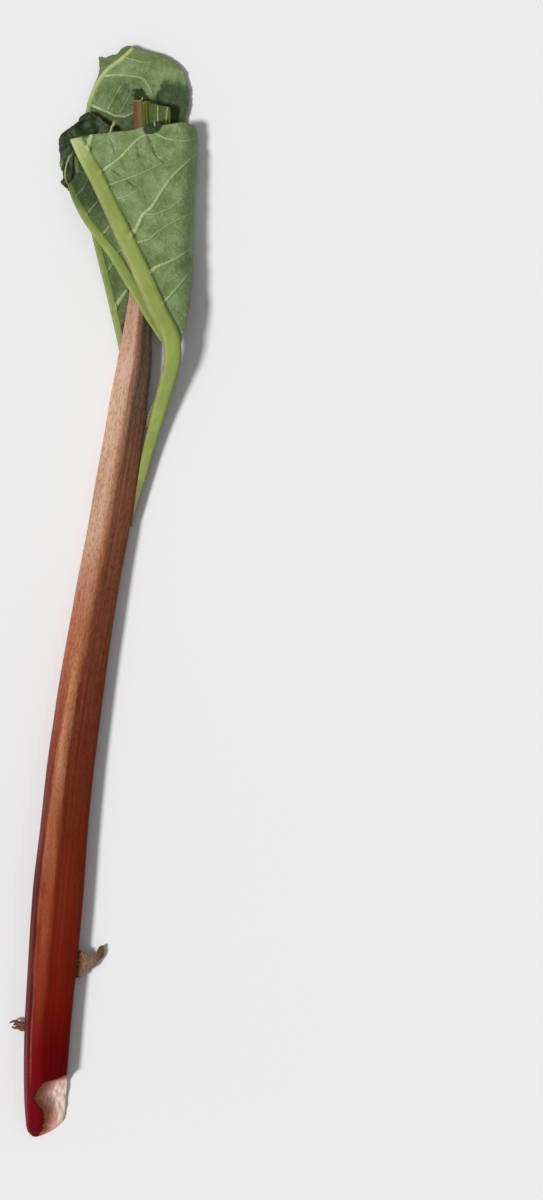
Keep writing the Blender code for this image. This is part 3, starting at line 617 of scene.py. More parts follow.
def fill_outline(outline, lobe):
    """Triangles that fill the outline, with inner points along the veins and on a grid."""
    low, high = outline.min(axis=0), outline.max(axis=0)
    points = outline
    lines = [vein_line(lobe.vein, share) for share in RIB_LINES if lobe.vein]
    lines += [vein_line(vein, share) for vein in lobe.side_veins for share in SIDE_LINES]
    if lines:
        lines = np.concatenate(lines)
        lines = lines[inside_outline(outline, lines)]
        points = np.concatenate((points, lines[distances(lines, outline) > RIB_CLEARANCE]))
    rows = enumerate(np.arange(low[1], high[1], SHEET_GRID * math.sqrt(0.75)))
    inner = np.array([(x, y) for row, y in rows
                      for x in np.arange(low[0] + (row % 2) * SHEET_GRID / 2, high[0], SHEET_GRID)])
    inner = inner[inside_outline(outline, inner)]
    inner = inner[distances(inner, points) > GRID_GAP * SHEET_GRID]
    points = [Vector(point) for point in np.concatenate((points, inner))]
    edges = [(index, (index + 1) % len(outline)) for index in range(len(outline))]
    vertices, _, triangles, *_ = delaunay_2d_cdt(points, edges, [], 1, 1e-5)
    vertices = np.array([tuple(vertex) for vertex in vertices])
    used, triangles = np.unique(np.array(triangles), return_inverse=True)
    return vertices[used], triangles.reshape(-1, 3)


def vein_line(vein, share, end=math.inf):
    """A line along the vein in plan, from its left edge (-1) over its middle (0) to its right (1)."""
    path, lengths = smooth_path(vein, SHEET_GRID)
    runs = np.gradient(path[:, :2], axis=0)
    runs /= np.linalg.norm(runs, axis=1)[:, None]
    across = np.column_stack((runs[:, 1], -runs[:, 0])) * share
    return (path[:, :2] + across * path[:, 2:3])[lengths <= end]


def ragged_line(points, lobe):
    """A smooth line through the margin's points, with small teeth and tears."""
    line, _ = smooth_path(with_zero(points), SHEET_GRID)
    strays = [field(line, TOOTH_SIZE, lobe.seed + shift, 2)
              + field(line, TEAR_SIZE, lobe.seed + shift + 2) for shift in (1, 2)]
    return line[:, :2] + lobe.ragged * np.column_stack(strays)


def lobe_outline(lobe):
    """The outline of a lobe, up its vein, round and back; and the margin alone."""
    margin = np.array(lobe.margin, dtype=float)
    if not lobe.vein:
        outline = ragged_line(np.concatenate((margin, margin[:1])), lobe)[:-1]
        return outline, outline
    left = vein_line(lobe.vein, -1, end=lobe.vein_edge)
    root = vein_line(lobe.vein, 1, end=lobe.bare)[::-1]
    if lobe.vein_edge == math.inf:
        cut = [left[-1:] * (1 - share) + margin[:1] * share for share in CORNER_SHARES]
        left = np.concatenate((left, *cut))
    margin = ragged_line(margin, lobe)
    return np.concatenate((left, margin, root)), margin


def laid(places, lobe, levels):
    """Set the lobe's middle surface at its levels, and bend it down past the drape line."""
    if not lobe.draped:
        return np.column_stack((places, levels))
    fold = curve(DRAPE_X, places[:, 1])
    past = np.maximum(places[:, 0] - fold, 0.0)
    turn = past / DRAPE_RADIUS
    x = np.where(past > 0.0, fold + DRAPE_RADIUS * np.sin(turn), places[:, 0])
    return np.column_stack((x, places[:, 1], levels - DRAPE_RADIUS * (1.0 - np.cos(turn))))


def surface_normals(points, triangles):
    """A smooth normal at each point."""
    corners = points[triangles]
    facing = np.cross(corners[:, 1] - corners[:, 0], corners[:, 2] - corners[:, 0])
    normals = np.zeros_like(points)
    for corner in range(3):
        np.add.at(normals, triangles[:, corner], facing)
    return normals / np.linalg.norm(normals, axis=1)[:, None]


def closed_sheet(middle, triangles, above, below):
    """Points and faces of a sheet that reaches above and below its middle surface."""
    normals = surface_normals(middle, triangles)
    points = np.concatenate((middle + normals * above[:, None], middle - normals * below[:, None]))
    points[:, 2] = np.maximum(points[:, 2], FLOOR_GAP)
    count = len(middle)
    triangles = [tuple(triangle) for triangle in triangles.tolist()]
    faces = triangles + [tuple(count + index for index in face[::-1]) for face in triangles]
    directed = {(face[i], face[(i + 1) % 3]) for face in triangles for i in range(3)}
    for start, end in sorted(directed):
        if (end, start) not in directed:
            faces.append((end, start, count + start, count + end))
    return points, faces


def side_relief(lobe, flat):
    """How far the side veins stand out, where they are, and how near the nearest is."""
    relief, mask = np.zeros(len(flat)), np.zeros(len(flat))
    nearest = np.full(len(flat), FAR)
    for vein in lobe.side_veins:
        distance, _, _, half = beside_vein(vein, flat)
        share = distance / (SIDE_VEIN_REACH * half)
        ridge = SIDE_VEIN_RISE * half * np.sqrt(np.clip(1.0 - share ** 2, 0.0, 1.0))
        relief = np.maximum(relief, ridge)
        strength = np.clip(half / SIDE_VEIN_FULL, 0.35, 1.0)
        mask = np.maximum(mask, strength * (1.0 - smooth_step(0.55, 1.0, share)))
        nearest = np.minimum(nearest, np.maximum(distance - half, 0.0))
    return relief, mask, nearest


def main_vein(lobe, flat, relief, rise):
    """Raise the main vein. Gives the relief, where the vein is, places on it, and how near it is."""
    distance, side, along, half = beside_vein(lobe.vein, flat)
    share = distance / half
    soft = np.zeros(len(flat))
    if lobe is FRONT:
        soft = (1.0 - smooth_step(8, 24, along.max() - along)) * (side > 0)
    rib = half * np.sqrt(np.clip(1.0 - share ** (4 - 2 * soft), 0.0, 1.0)) * rise
    relief = relief * (0.12 + 0.88 * smooth_step(0.5, 0.9, share)) + rib
    mask = 1.0 - smooth_step(0.94 - 0.12 * soft, 1.08 + 0.2 * soft, share)
    if lobe is FRONT:
        fork, notch = spot(flat, FORK), beside(NOTCH, flat)
        relief = (relief + 0.25 * fork * (share > 1)) * (1.0 - 0.5 * notch)
        mask = np.maximum(mask, 0.75 * fork) * (1.0 - 0.85 * notch)
    places = np.column_stack((share * side, along, half))
    return relief, mask, places, np.maximum(distance - half, 0.0)


def waves(lobe, flat, calm):
    """How far the blade waves up and down between its veins."""
    spots = with_zero(flat)
    result = field(spots, lobe.crumple_size, lobe.seed, 2)
    result += 0.35 * field(spots, lobe.crumple_size / 3.1, lobe.seed + 6, 2)
    along, across = flat @ CREASE_ALONG, flat @ CREASE_ACROSS
    creases = with_zero(np.column_stack((along / CREASE_STRETCH, across)))
    result += 0.5 - 1.5 * np.abs(field(creases, 6.5, lobe.seed + 9, 2))
    strength = np.full(len(flat), lobe.crumple)
    if lobe is OUTER:
        strength *= 0.2 + 0.8 * smooth_step(398, 420, flat[:, 1])
        result += 0.4 - 1.3 * np.abs(field(spots, 10.0, lobe.seed + 8))
    return result * strength * (0.25 + 0.75 * calm)


def lobe_mesh(lobe, settings):
    """A closed leaf sheet: points, faces and what the leaf's material reads."""
    outline, margin = lobe_outline(lobe)
    flat, triangles = fill_outline(outline, lobe)
    relief, side_mask, nearest = side_relief(lobe, flat)
    vein_mask, on_rib = np.zeros(len(flat)), np.zeros((len(flat), 3))
    if lobe.vein:
        relief, vein_mask, on_rib, near = main_vein(lobe, flat, relief, settings.vein_rise)
        nearest = np.minimum(nearest, near)
    calm = 1.0 - hump(nearest, CALM_WIDTH)
    knots = [(x, y, z) for (x, y, _), z in zip(lobe.vein, lobe.vein_levels)]
    level = level_surface((*knots, *lobe.levels))(flat)
    level += settings.crumple * waves(lobe, flat, calm)
    if lobe.vein:
        level -= VALLEY * calm
    if lobe is FRONT:
        level -= TEAR_DEPTH * beside(TEAR, flat) + FOLD_DEPTH * folded(flat)
    half = lobe.thickness / 2
    points, faces = closed_sheet(laid(flat, lobe, level), triangles,
                                 half + relief, half + VEIN_SINK * relief)
    marks = leaf_marks(lobe, flat)
    rim = hump(distances(flat, margin), RIM_WIDTH)
    marks.update(vein=vein_mask, side_vein=side_mask, rim=rim)
    readings = {name: np.tile(mask, 2) for name, mask in marks.items()}
    readings["dark"][len(flat):] = underside_dark(lobe, flat, marks["dark"])
    readings["flat"] = np.tile(with_zero(flat), (2, 1))
    readings["rib"] = np.tile(on_rib, (2, 1))
    return points, faces, readings


def spot(flat, place, stray=0.0):
    """A soft-edged oval mark, from 0 to 1."""
    away = np.hypot((flat[:, 0] - place[0]) / place[2], (flat[:, 1] - place[1]) / place[3])
    return 1.0 - smooth_step(*MARK_EDGE, away + stray)


def beside(line, flat, width=1.0):
    """How near each place is to a line's middle, from 0 to 1."""
    distance, _, _, half = beside_vein(line, flat)
    return hump(distance, width * half)


def folded(flat):
    """How far each place lies within one of the front lobe's folds, from 0 to 1."""
    return np.maximum.reduce([beside(fold, flat) for fold in FOLDS])


def under_line(flat, line):
    """1 below the line and 0 above it."""
    xs, ys = np.array(line).T
    return smooth_step(*LINE_EDGE, np.interp(flat[:, 0], xs, ys) - flat[:, 1])


def underside_dark(lobe, flat, dark):
    """How dark the face that looks down is, from 0 to 1."""
    if lobe is FLAP:
        return dark
    if lobe is CURL:
        return 1.0 - dark
    if lobe is OUTER:
        return 1.0 - smooth_step(*UPPER_SIDE, flat[:, 1])
    return np.ones(len(flat))


def back_dark(flat, stray):
    """How dark the back lobe is: left of its vein and at its flap, with painted shade below its side veins,
    over its middle and in its deep fold.
    """
    x, y = flat.T
    distance, side, _, half = beside_vein(BACK.vein, flat)
    left = 0.45 * smooth_step(0.0, 0.6, -side * distance - half)
    # Painted shade below the two main side veins.
    lower = 0.22 * under_line(flat, BACK_UPPER_LINE) + 0.5 * under_line(flat, BACK_LOWER_LINE)
    right = 0.85 * smooth_step(-0.3, 0.5, x - 5.4 - 0.18 * (y - 455) - 1.5 * stray)
    right *= 1 - smooth_step(467, 471, y + 2 * stray)
    # Painted shade over the middle and in the deep fold.
    shade, deep = 0.5 * spot(flat, SHADE, 0.5 * stray), 1.2 * spot(flat, HOLLOW_SHADE, 0.8 * stray)
    return np.clip(np.maximum.reduce((left, lower, shade, right, deep)), 0, 1)


def blade_marks(lobe, flat, stray):
    """The marks on the blade of each lobe, by name."""
    x, y = flat.T
    if lobe is FRONT:
        # Painted shade along the folds and in the hollow at the vein's top.
        folds = 0.5 * folded(flat) * np.clip(0.8 + stray, 0, 1)
        return {"dark": np.maximum(folds, 0.3 * beside(NOTCH, flat)),
                "browned": beside(TEAR, flat, 0.7) * np.clip(0.75 + 1.2 * stray, 0, 1),
                "bruise": spot(flat, WEB, 0.6 * stray)}
    if lobe is SIDE:
        return {"dark": 0.28 + 0.62 * smooth_step(394, 414, y + 3 * stray)}
    if lobe is OUTER:
        upper = 0.45 + 0.55 * smooth_step(*UPPER_SIDE, y)
        return {"dark": upper * (1.0 - 0.8 * spot(flat, PALE_EDGE, 0.5 * stray)),
                "bruise": spot(flat, BRUISE, 0.5 * stray)}
    if lobe is BACK:
        return {"dark": back_dark(flat, stray), "pale": np.full(len(flat), 0.8)}
    if lobe is STRIP:
        return {"fresh": np.ones(len(flat))}
    if lobe is CURL:
        return {"dark": np.full(len(flat), 0.95)}
    # The dry flap is darker brown at its root, partly painted shade where it meets the stem, and brown at
    # its tip.
    across = x + stray
    tip = 0.6 * smooth_step(14.4, 16.2, across)
    return {"dark": np.maximum(1 - smooth_step(8.2, 10.6, across), tip)}


def mark_vein(lobe, flat, stray, marks):
    """Add the marks on the lobe's main vein: paler, reddish and browned lengths."""
    distance, side, along, half = beside_vein(lobe.vein, flat)
    top = along.max() - along
    if lobe is FRONT:
        marks["pale"] = 1 - smooth_step(1.0, 17.0, top)
        marks["blush"] = hump(side * distance / half + 0.9, 0.15)
        marks["blush"] *= 1 - smooth_step(BLUSH_END - 30, BLUSH_END, along)
        marks["blush"] *= np.clip(0.75 + 0.6 * stray, 0.3, 1.0)
    if lobe is OUTER:
        marks["pale"] = 1 - smooth_step(0.0, 50.0, along)
    if lobe in (FRONT, SIDE):
        cut = (1 - smooth_step(0.15, 1.1, top + 0.4 * stray)) * (distance < half * 1.05)
        marks["browned"] = np.maximum(marks["browned"], 0.8 * cut)
    if lobe is not BACK:
        root = 1 - smooth_step(4, 34, along + 6 * stray)
        marks["blush"] = np.maximum(marks["blush"], root * (0.4 if lobe is OUTER else 1.0))


def leaf_marks(lobe, flat):
    """Where the lobe is dark, cut, blushed, torn or bruised, from 0 to 1."""
    names = ("dark", "browned", "blush", "bruise", "pale", "fresh")
    marks = {name: np.zeros(len(flat)) for name in names}
    stray = field(with_zero(flat), 3.0, lobe.seed + 12, 2)
    marks.update(blade_marks(lobe, flat, stray))
    if lobe.vein:
        mark_vein(lobe, flat, stray, marks)
    return marks


def strand_mesh(strands, browning, rings, sides, seed, wrinkle):
    """Thin strands, each a closed wrinkled tube that browns along its length."""
    points, faces = [], []
    angles = np.linspace(0.0, 2 * math.pi, sides, endpoint=False)
    brown = np.interp(np.linspace(0, 1, rings), *np.array(browning).T)
    for index, strand in enumerate(strands):
        path, _ = smooth_path(strand, STRAND_STEP)
        path = path[np.linspace(0, len(path) - 1, rings).astype(int)]
        first = len(points) * sides
        for centre, run in zip(path, np.gradient(path[:, :3], axis=0)):
            run = Vector(run).normalized()
            across = run.cross(Vector((0, 0, 1))).normalized()
            rise = across.cross(run)
            ring = np.array([np.array(centre[:3]) + centre[3]
                             * (math.cos(a) * np.array(across) + math.sin(a) * 0.8 * np.array(rise))
                             for a in angles])
            push = field(ring, 0.8, seed + index * 3, 2)[:, None]
            points.append(ring + (ring - centre[:3]) * wrinkle * push)
        faces += [tuple(first + corner for corner in face) for face in tube_faces(rings, sides)]
    points = np.concatenate(points)
    return points, faces, {"dark": np.tile(np.repeat(brown, sides), len(strands)), "flat": points}


def stalk_origin():
    """The place in the frame of the stalk's own origin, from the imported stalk's box."""
    low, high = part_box("stalk")
    places = np.arange(BASE_Y, CUT_Y, STEM_STEP)
    left = (curve(AXIS_X, places) - curve(WIDTH, places) / 2).min()
    right = (curve(AXIS_X, places) + curve(WIDTH, places) / 2).max()
    x = (low.x + high.x) / 2 - (left + right) / 2 * MM
    return np.array((x, low.y - BASE_Y * MM, low.z))


def add_piece(name, shape, material, nodes):
    """Make one piece of the part from a shape in millimetres, standing for CAD nodes."""
    points, faces, readings = shape
    mesh = bpy.data.meshes.new(name)
    mesh.from_pydata((points * MM + stalk_origin()).tolist(), [], faces)
    for label, data in readings.items():
        kind, key = ("FLOAT_VECTOR", "vector") if data.ndim == 2 else ("FLOAT", "value")
        attribute = mesh.attributes.new(label, kind, "POINT")
        attribute.data.foreach_set(key, np.ascontiguousarray(data, dtype=np.float32).ravel())
    builder = bmesh.new()
    builder.from_mesh(mesh)
    bmesh.ops.recalc_face_normals(builder, faces=builder.faces)
    builder.to_mesh(mesh)
    builder.free()
    mesh.shade_smooth()
    mesh.set_sharp_from_angle(angle=math.radians(SHARP_EDGE))
    mesh.materials.append(material)
    piece = bpy.data.objects.new(name, mesh)
    bpy.context.scene.collection.objects.link(piece)
    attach(piece, BODY)
    if nodes:
        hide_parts(*nodes)


class Nodes:
    """A short way to put shader nodes into one material."""

    def __init__(self, name):
        self.material = bpy.data.materials.new(name)
        self.material.use_nodes = True
        self.tree = self.material.node_tree
        self.shader = self.tree.nodes["Principled BSDF"]

    def add(self, kind, inputs=(), output=0, **settings):
        node = self.tree.nodes.new(kind)
        for label, value in settings.items():
            setattr(node, label, value)
        for place, value in dict(inputs).items():
            if isinstance(value, bpy.types.NodeSocket):
                self.tree.links.new(value, node.inputs[place])
            else:
                node.inputs[place].default_value = value
        return node.outputs[output]

    def number(self, label):
        return self.add("ShaderNodeAttribute", output="Fac", attribute_name=label)

    def vector(self, label):
        return self.add("ShaderNodeAttribute", output="Vector", attribute_name=label)

    def part(self, vector, axis):
        return self.add("ShaderNodeSeparateXYZ", {0: vector}, output=axis)

    def stretch(self, vector, scale):
        return self.add("ShaderNodeVectorMath", {0: vector, 1: scale}, operation="MULTIPLY")

    def math(self, operation, first, second):
        return self.add("ShaderNodeMath", {0: first, 1: second}, operation=operation)

    def times(self, first, second):
        return self.math("MULTIPLY", first, second)

    def plus(self, total, *parts):
        for part in parts:
            total = self.math("ADD", total, part)
        return total

    def noise(self, vector, scale, detail=2.0, roughness=0.5, output="Fac"):
        return self.add("ShaderNodeTexNoise", {"Vector": vector, "Scale": scale, "Detail": detail,
                                               "Roughness": roughness}, output=output)

    def cells(self, vector, scale):
        return self.add("ShaderNodeTexVoronoi", {"Vector": vector, "Scale": scale},
                        output="Distance", voronoi_dimensions="2D", feature="DISTANCE_TO_EDGE")

    def step(self, value, low, high, to_low=0.0, to_high=1.0, kind="SMOOTHSTEP"):
        return self.add("ShaderNodeMapRange", {0: value, 1: low, 2: high, 3: to_low, 4: to_high},
                        interpolation_type=kind)

    def mix(self, share, first, second, blend="MIX"):
        colours = [(*colour, 1.0) if isinstance(colour, tuple) else colour
                   for colour in (first, second)]
        return self.add("ShaderNodeMix", {0: share, 6: colours[0], 7: colours[1]}, output=2,
                        data_type="RGBA", blend_type=blend)

    def tint(self, share, colour, factors):
        return self.mix(share, colour, self.mix(1.0, colour, factors, "MULTIPLY"))

    def ramp(self, value, stops):
        socket = self.add("ShaderNodeValToRGB", {0: value})
        elements = socket.node.color_ramp.elements
        while len(elements) < len(stops):
            elements.new(0.5)
        for element, (place, colour) in zip(elements, stops):
            element.position = place
            element.color = (*colour, 1.0)
        return socket

    def finish(self, colour, roughness, height=None, depth=0.0002, specular=None):
        inputs = self.shader.inputs
        self.tree.links.new(colour, inputs["Base Color"])
        if isinstance(roughness, float):
            inputs["Roughness"].default_value = roughness
        else:
            self.tree.links.new(roughness, inputs["Roughness"])
        if height is not None:
            bump = self.add("ShaderNodeBump", {"Strength": 1.0, "Distance": depth,
                                               "Height": height})
            self.tree.links.new(bump, inputs["Normal"])
        if specular is not None:
            inputs["Specular IOR Level"].default_value = specular
        return self.material


# The skin's colour along the stem, at y in millimetres: left of its long edge, on it and right. Besides the
# skin's own colours, the band on the long edge holds a painted highlight and the right face holds painted
# shade.
LEFT_SKIN = ((5, (0.14, 0.003, 0.008)), (50, (0.095, 0.004, 0.002)), (75, (0.11, 0.008, 0.004)),
             (100, (0.08, 0.007, 0.003)), (160, (0.18, 0.038, 0.021)), (220, (0.38, 0.15, 0.083)),
             (262, (0.49, 0.32, 0.22)), (280, (0.5, 0.33, 0.225)), (310, (0.55, 0.38, 0.27)),
             (340, (0.56, 0.38, 0.285)), (400, (0.3, 0.16, 0.09)), (440, (0.15, 0.07, 0.035)))
EDGE_SKIN_AND_HIGHLIGHT = ((5, (0.18, 0.004, 0.009)), (32, (0.21, 0.006, 0.007)), (50, (0.26, 0.033, 0.014)),
             (75, (0.35, 0.075, 0.034)), (100, (0.38, 0.09, 0.038)), (160, (0.47, 0.21, 0.105)),
             (200, (0.47, 0.2, 0.09)), (220, (0.34, 0.128, 0.058)), (280, (0.42, 0.225, 0.128)),
             (340, (0.26, 0.15, 0.1)), (400, (0.2, 0.13, 0.06)), (440, (0.15, 0.13, 0.04)))
RIGHT_SKIN_AND_SHADE = ((5, (0.12, 0.002, 0.003)), (32, (0.14, 0.002, 0.002)), (50, (0.2, 0.009, 0.003)),
              (100, (0.22, 0.03, 0.011)), (160, (0.195, 0.038, 0.015)), (220, (0.23, 0.07, 0.035)),
              (280, (0.3, 0.125, 0.063)), (340, (0.18, 0.13, 0.09)), (400, (0.17, 0.17, 0.05)),
              (440, (0.18, 0.24, 0.05)))
TORN_FLESH = ((0.0, (0.22, 0.09, 0.03)), (0.12, (0.34, 0.16, 0.05)), (0.24, (0.58, 0.22, 0.16)),
              (0.5, (0.76, 0.42, 0.36)), (1.0, (0.84, 0.7, 0.6)))

# What the marks do to the leaf's colour: the mark, its strength and the colour that it gives.
STAINS = (("blush", 0.85, (0.23, 0.14, 0.095)), ("rim", 0.4, (0.085, 0.06, 0.025)),
          ("browned", 1.0, (0.11, 0.058, 0.028)), ("bruise", 0.7, (0.055, 0.048, 0.055)))
COOL_BLADE = (1.22, 1.17, 1.36)  # factors on the blade's colour
WARM_BLADE = (0.74, 0.8, 0.6)
FRESH_BLADE = (0.066, 0.106, 0.015)
PALE_VEIN = (0.56, 0.59, 0.31)


def along_stem(stops):
    """Turn stops at y into stops from 0 to 1 over the stalk's length."""
    return [((y - BASE_Y) / (CUT_Y - BASE_Y), colour) for y, colour in stops]


def tinted(colour, factors):
    """The colour with its parts multiplied by the factors."""
    return tuple(part * factor for part, factor in zip(colour, factors))


def flesh_and_pith(make, grain, torn, skin):
    """Lay the torn base's pink flesh and the cut end's pith over the skin."""
    blotches = make.noise(make.stretch(grain, (0.7, 0.25, 0.7)), 1.0, 3.0)
    flesh = make.mix(make.step(blotches, 0.45, 0.62, 0.0, 0.5),
                     make.ramp(make.step(torn, 0.0, 9.0), TORN_FLESH), (0.6, 0.2, 0.17))
    colour = make.mix(make.step(torn, 0.05, 0.3), skin, flesh)
    pith = make.mix(make.noise(grain, 2.2, 2.0), (0.4, 0.36, 0.2), (0.36, 0.22, 0.14))
    return make.mix(make.step(make.number("cut"), 0.3, 0.9), colour, pith)


def stem_skin(settings):
    """Semi-gloss skin with red flecks and fine streaks, tan above and crimson at the base, with a painted
    highlight along its long edge and painted shade on its right face and far right side.
    """
    make = Nodes("stem_skin")
    grain, torn = make.vector("grain"), make.number("torn")
    along = make.part(grain, 1)
    share = make.step(along, BASE_Y, CUT_Y, kind="LINEAR")
    drift = make.noise(make.stretch(grain, (0.3, 0.05, 0.3)), 1.0, 2.0)
    turn = make.plus(make.times(make.number("turn"), make.step(along, 400, 445, 1.0, 0.42)),
                     make.step(along, 90, 190, 0.16, 0.0), make.step(drift, 0.3, 0.7, -0.05, 0.05))
    edge, right, left = (make.ramp(share, along_stem(skin))
                         for skin in (EDGE_SKIN_AND_HIGHLIGHT, RIGHT_SKIN_AND_SHADE, LEFT_SKIN))
    # Painted highlight on the long edge and painted shade on the right face are mixed in here with the
    # skin's own colours.
    colour = make.mix(make.step(turn, -0.1, -0.42), edge, right)
    colour = make.mix(make.step(turn, 0.02, 0.38), colour, left)
    # Painted shade: the far right side, turned from the light, is darkened.
    colour = make.tint(make.step(turn, -0.9, -1.7, 0.0, 0.2), colour, (0.58, 0.45, 0.4))
    patches = make.noise(make.stretch(grain, (0.16, 0.035, 0.16)), 1.0, 2.0)
    colour = make.tint(make.step(patches, 0.38, 0.66, 0.0, 0.45), colour, (0.84, 0.7, 0.66))
    contrast = make.step(along, 425, 445, 1.0, 0.4)
    streaks = make.noise(make.stretch(grain, (0.62, 0.035, 0.62)), 1.0, 3.0, 0.55)
    dark_streaks = make.times(make.step(streaks, 0.44, 0.66, 0.0, 0.32), contrast)
    colour = make.tint(dark_streaks, colour, (0.76, 0.62, 0.58))
    pale_streaks = make.times(make.step(streaks, 0.5, 0.32, 0.0, 0.28), contrast)
    colour = make.tint(pale_streaks, colour, (1.2, 1.28, 1.25))
    flecks = make.noise(make.stretch(grain, (0.95, 0.42, 0.95)), 1.0, 3.0, 0.7)
    red_flecks = make.times(make.step(flecks, 0.49, 0.57), make.step(along, 60, 220, 0.3, 0.85))
    colour = make.tint(make.times(red_flecks, contrast), colour, (0.8, 0.6, 0.52))
    pale = make.noise(make.stretch(grain, (0.55, 0.22, 0.55)), 1.7, 2.0, 0.6)
    colour = make.tint(make.step(pale, 0.54, 0.72, 0.0, 0.45), colour, (1.22, 1.32, 1.3))
    colour = flesh_and_pith(make, grain, torn, colour)
    height = make.plus(make.times(streaks, 0.8), make.times(flecks, 0.35))
    rough = make.plus(make.times(flecks, 0.16), settings.gloss - 0.08,
                      make.step(torn, 0.05, 0.5, 0.0, 0.2))
    return make.finish(colour, rough, make.times(height, contrast), depth=0.00018, specular=0.05)


def leaf_blade(make, settings, flat, dark, mottle):
    """The blade's colour: cloudy, mottled green on its pale side, and dark on its upper side and where
    painted shade is marked dark.
    """
    blade, upper = tuple(settings.blade_colour), tuple(settings.upper_colour)
    clouds = make.noise(flat, 0.12, 3.0, 0.6)
    colour = make.mix(make.step(clouds, 0.34, 0.66), tinted(blade, WARM_BLADE),
                      tinted(blade, COOL_BLADE))
    colour = make.tint(make.step(mottle, 0.42, 0.68, 0.0, 0.55), colour, (0.78, 0.84, 0.7))
    colour = make.mix(make.times(make.number("fresh"), 0.9), colour, FRESH_BLADE)
    upper = make.mix(make.step(clouds, 0.35, 0.7), upper, tinted(upper, (0.6, 0.6, 0.6)))
    return make.mix(dark, colour, upper)


def leaf_vein(make, settings, flat, rib, dark, fibres):
    """The thick veins' colour: pale, fibrous flesh, greener and darker to one side, partly as painted
    shade, and duller in places.
    """
    vein = make.tint(make.step(fibres, 0.35, 0.68, 0.0, 0.5), tuple(settings.vein_colour),
                     (0.8, 0.84, 0.62))
    pores = make.noise(make.stretch(rib, (8.0, 1.4, 0.0)), 1.0, 2.0, 0.6)
    vein = make.tint(make.step(pores, 0.5, 0.7, 0.0, 0.35), vein, (1.18, 1.14, 1.22))
    vein = make.mix(make.times(make.number("pale"), 0.7), vein, PALE_VEIN)
    # Towards its right edge the vein turns greener, its own colour, and darker, painted shade on the side
    # away from the light.
    vein = make.mix(make.step(make.part(rib, 0), 0.45, 1.0, 0.0, 0.4), vein,
                    tinted(settings.blade_colour, (0.85, 0.95, 0.6)))
    vein = make.tint(make.step(dark, 0.05, 0.45, 0.0, 0.8), vein, (0.68, 0.73, 0.56))
    drift = make.noise(flat, 0.07, 2.0)
    return make.tint(make.step(drift, 0.4, 0.6, 0.0, 0.6), vein, (0.8, 0.82, 0.78))


def leaf_skin(settings):
    """Matt leaf with a net of fine veins, thick pale veins, dark glossy upper sides and painted shade in
    folds and hollows.
    """
    make = Nodes("leaf_skin")
    flat, rib = make.vector("flat"), make.vector("rib")
    dark, on_vein = make.number("dark"), make.number("vein")
    wobble = make.stretch(make.noise(flat, 0.35, output="Color"), (4.5, 4.5, 0.0))
    bent = make.add("ShaderNodeVectorMath", {0: flat, 1: wobble}, operation="ADD")
    net = make.step(make.cells(bent, 0.2), 0.0, 0.055, 1.0, 0.0)
    small_net = make.step(make.cells(bent, 0.62), 0.0, 0.1, 1.0, 0.0)
    mottle = make.noise(flat, 0.55, 4.0, 0.62)
    fibres = make.noise(make.stretch(rib, (5.0, 0.14, 0.0)), 1.0, 3.0, 0.6)
    fine = tuple(settings.fine_vein_colour)
    colour = leaf_blade(make, settings, flat, dark, mottle)
    faint = make.step(dark, 0.0, 1.0, 1.0, 0.25)
    for lines, strength in ((small_net, 0.07), (net, 0.17)):
        colour = make.mix(make.times(make.times(lines, strength), faint), colour, fine)
    vein = leaf_vein(make, settings, flat, rib, dark, fibres)
    colour = make.mix(make.times(on_vein, make.step(dark, 0.55, 1.0, 1.0, 0.35)), colour, vein)
    covered = make.times(on_vein, make.step(dark, 0.0, 0.3, 0.85, 1.0))
    lateral = make.times(make.number("side_vein"), make.step(dark, 0.2, 1.0, 0.9, 0.35))
    lateral = make.times(lateral, make.math("SUBTRACT", 1.0, covered))
    colour = make.mix(lateral, colour, fine)
    for mark, strength, stain in STAINS:
        colour = make.mix(make.times(make.number(mark), strength), colour, stain)
    height = make.plus(make.times(net, 0.55), make.times(small_net, 0.22), make.times(mottle, 1.6),
                       make.times(make.noise(flat, 2.0, 3.0, 0.6), 0.3))
    height = make.times(height, make.step(on_vein, 0.0, 1.0, 1.0, 0.0))
    height = make.plus(height, make.times(fibres, 0.4))
    height = make.times(height, make.step(dark, 0.3, 1.0, 1.0, 0.5))
    rough = make.plus(make.math("SUBTRACT", 0.52, make.times(dark, 0.08)), make.times(mottle, 0.1))
    return make.finish(colour, rough, height, depth=0.00026, specular=0.28)


def dry_skin(_):
    """Dry, papery plant skin, tan to dark brown, whatever the settings."""
    make = Nodes("dry_skin")
    flat = make.vector("flat")
    streaks = make.noise(make.stretch(flat, (1.8, 0.6, 1.8)), 1.0, 4.0, 0.65)
    tan = make.ramp(streaks, ((0.3, (0.12, 0.058, 0.028)), (0.5, (0.25, 0.14, 0.085)),
                              (0.7, (0.42, 0.29, 0.22))))
    brown = make.ramp(streaks, ((0.32, (0.045, 0.014, 0.004)), (0.52, (0.15, 0.056, 0.018)),
                                (0.72, (0.35, 0.165, 0.065))))
    spots = make.noise(flat, 2.4, 3.0)
    return make.finish(make.mix(make.number("dark"), tan, brown),
                       make.step(spots, 0.3, 0.7, 0.55, 0.8),
                       make.plus(streaks, make.times(spots, 0.3)), depth=0.00025, specular=0.2)


def torn_fibre(_):
    """Torn green fibre that browns at its ends, whatever the settings."""
    make = Nodes("torn_fibre")
    streaks = make.noise(make.stretch(make.vector("flat"), (2.0, 0.7, 2.0)), 1.0, 3.0, 0.6)
    green = make.ramp(streaks, ((0.35, (0.24, 0.27, 0.075)), (0.65, (0.43, 0.44, 0.17))))
    colour = make.mix(make.number("dark"), green, (0.11, 0.055, 0.025))
    return make.finish(colour, make.step(streaks, 0.3, 0.7, 0.45, 0.7), streaks, depth=0.00015)


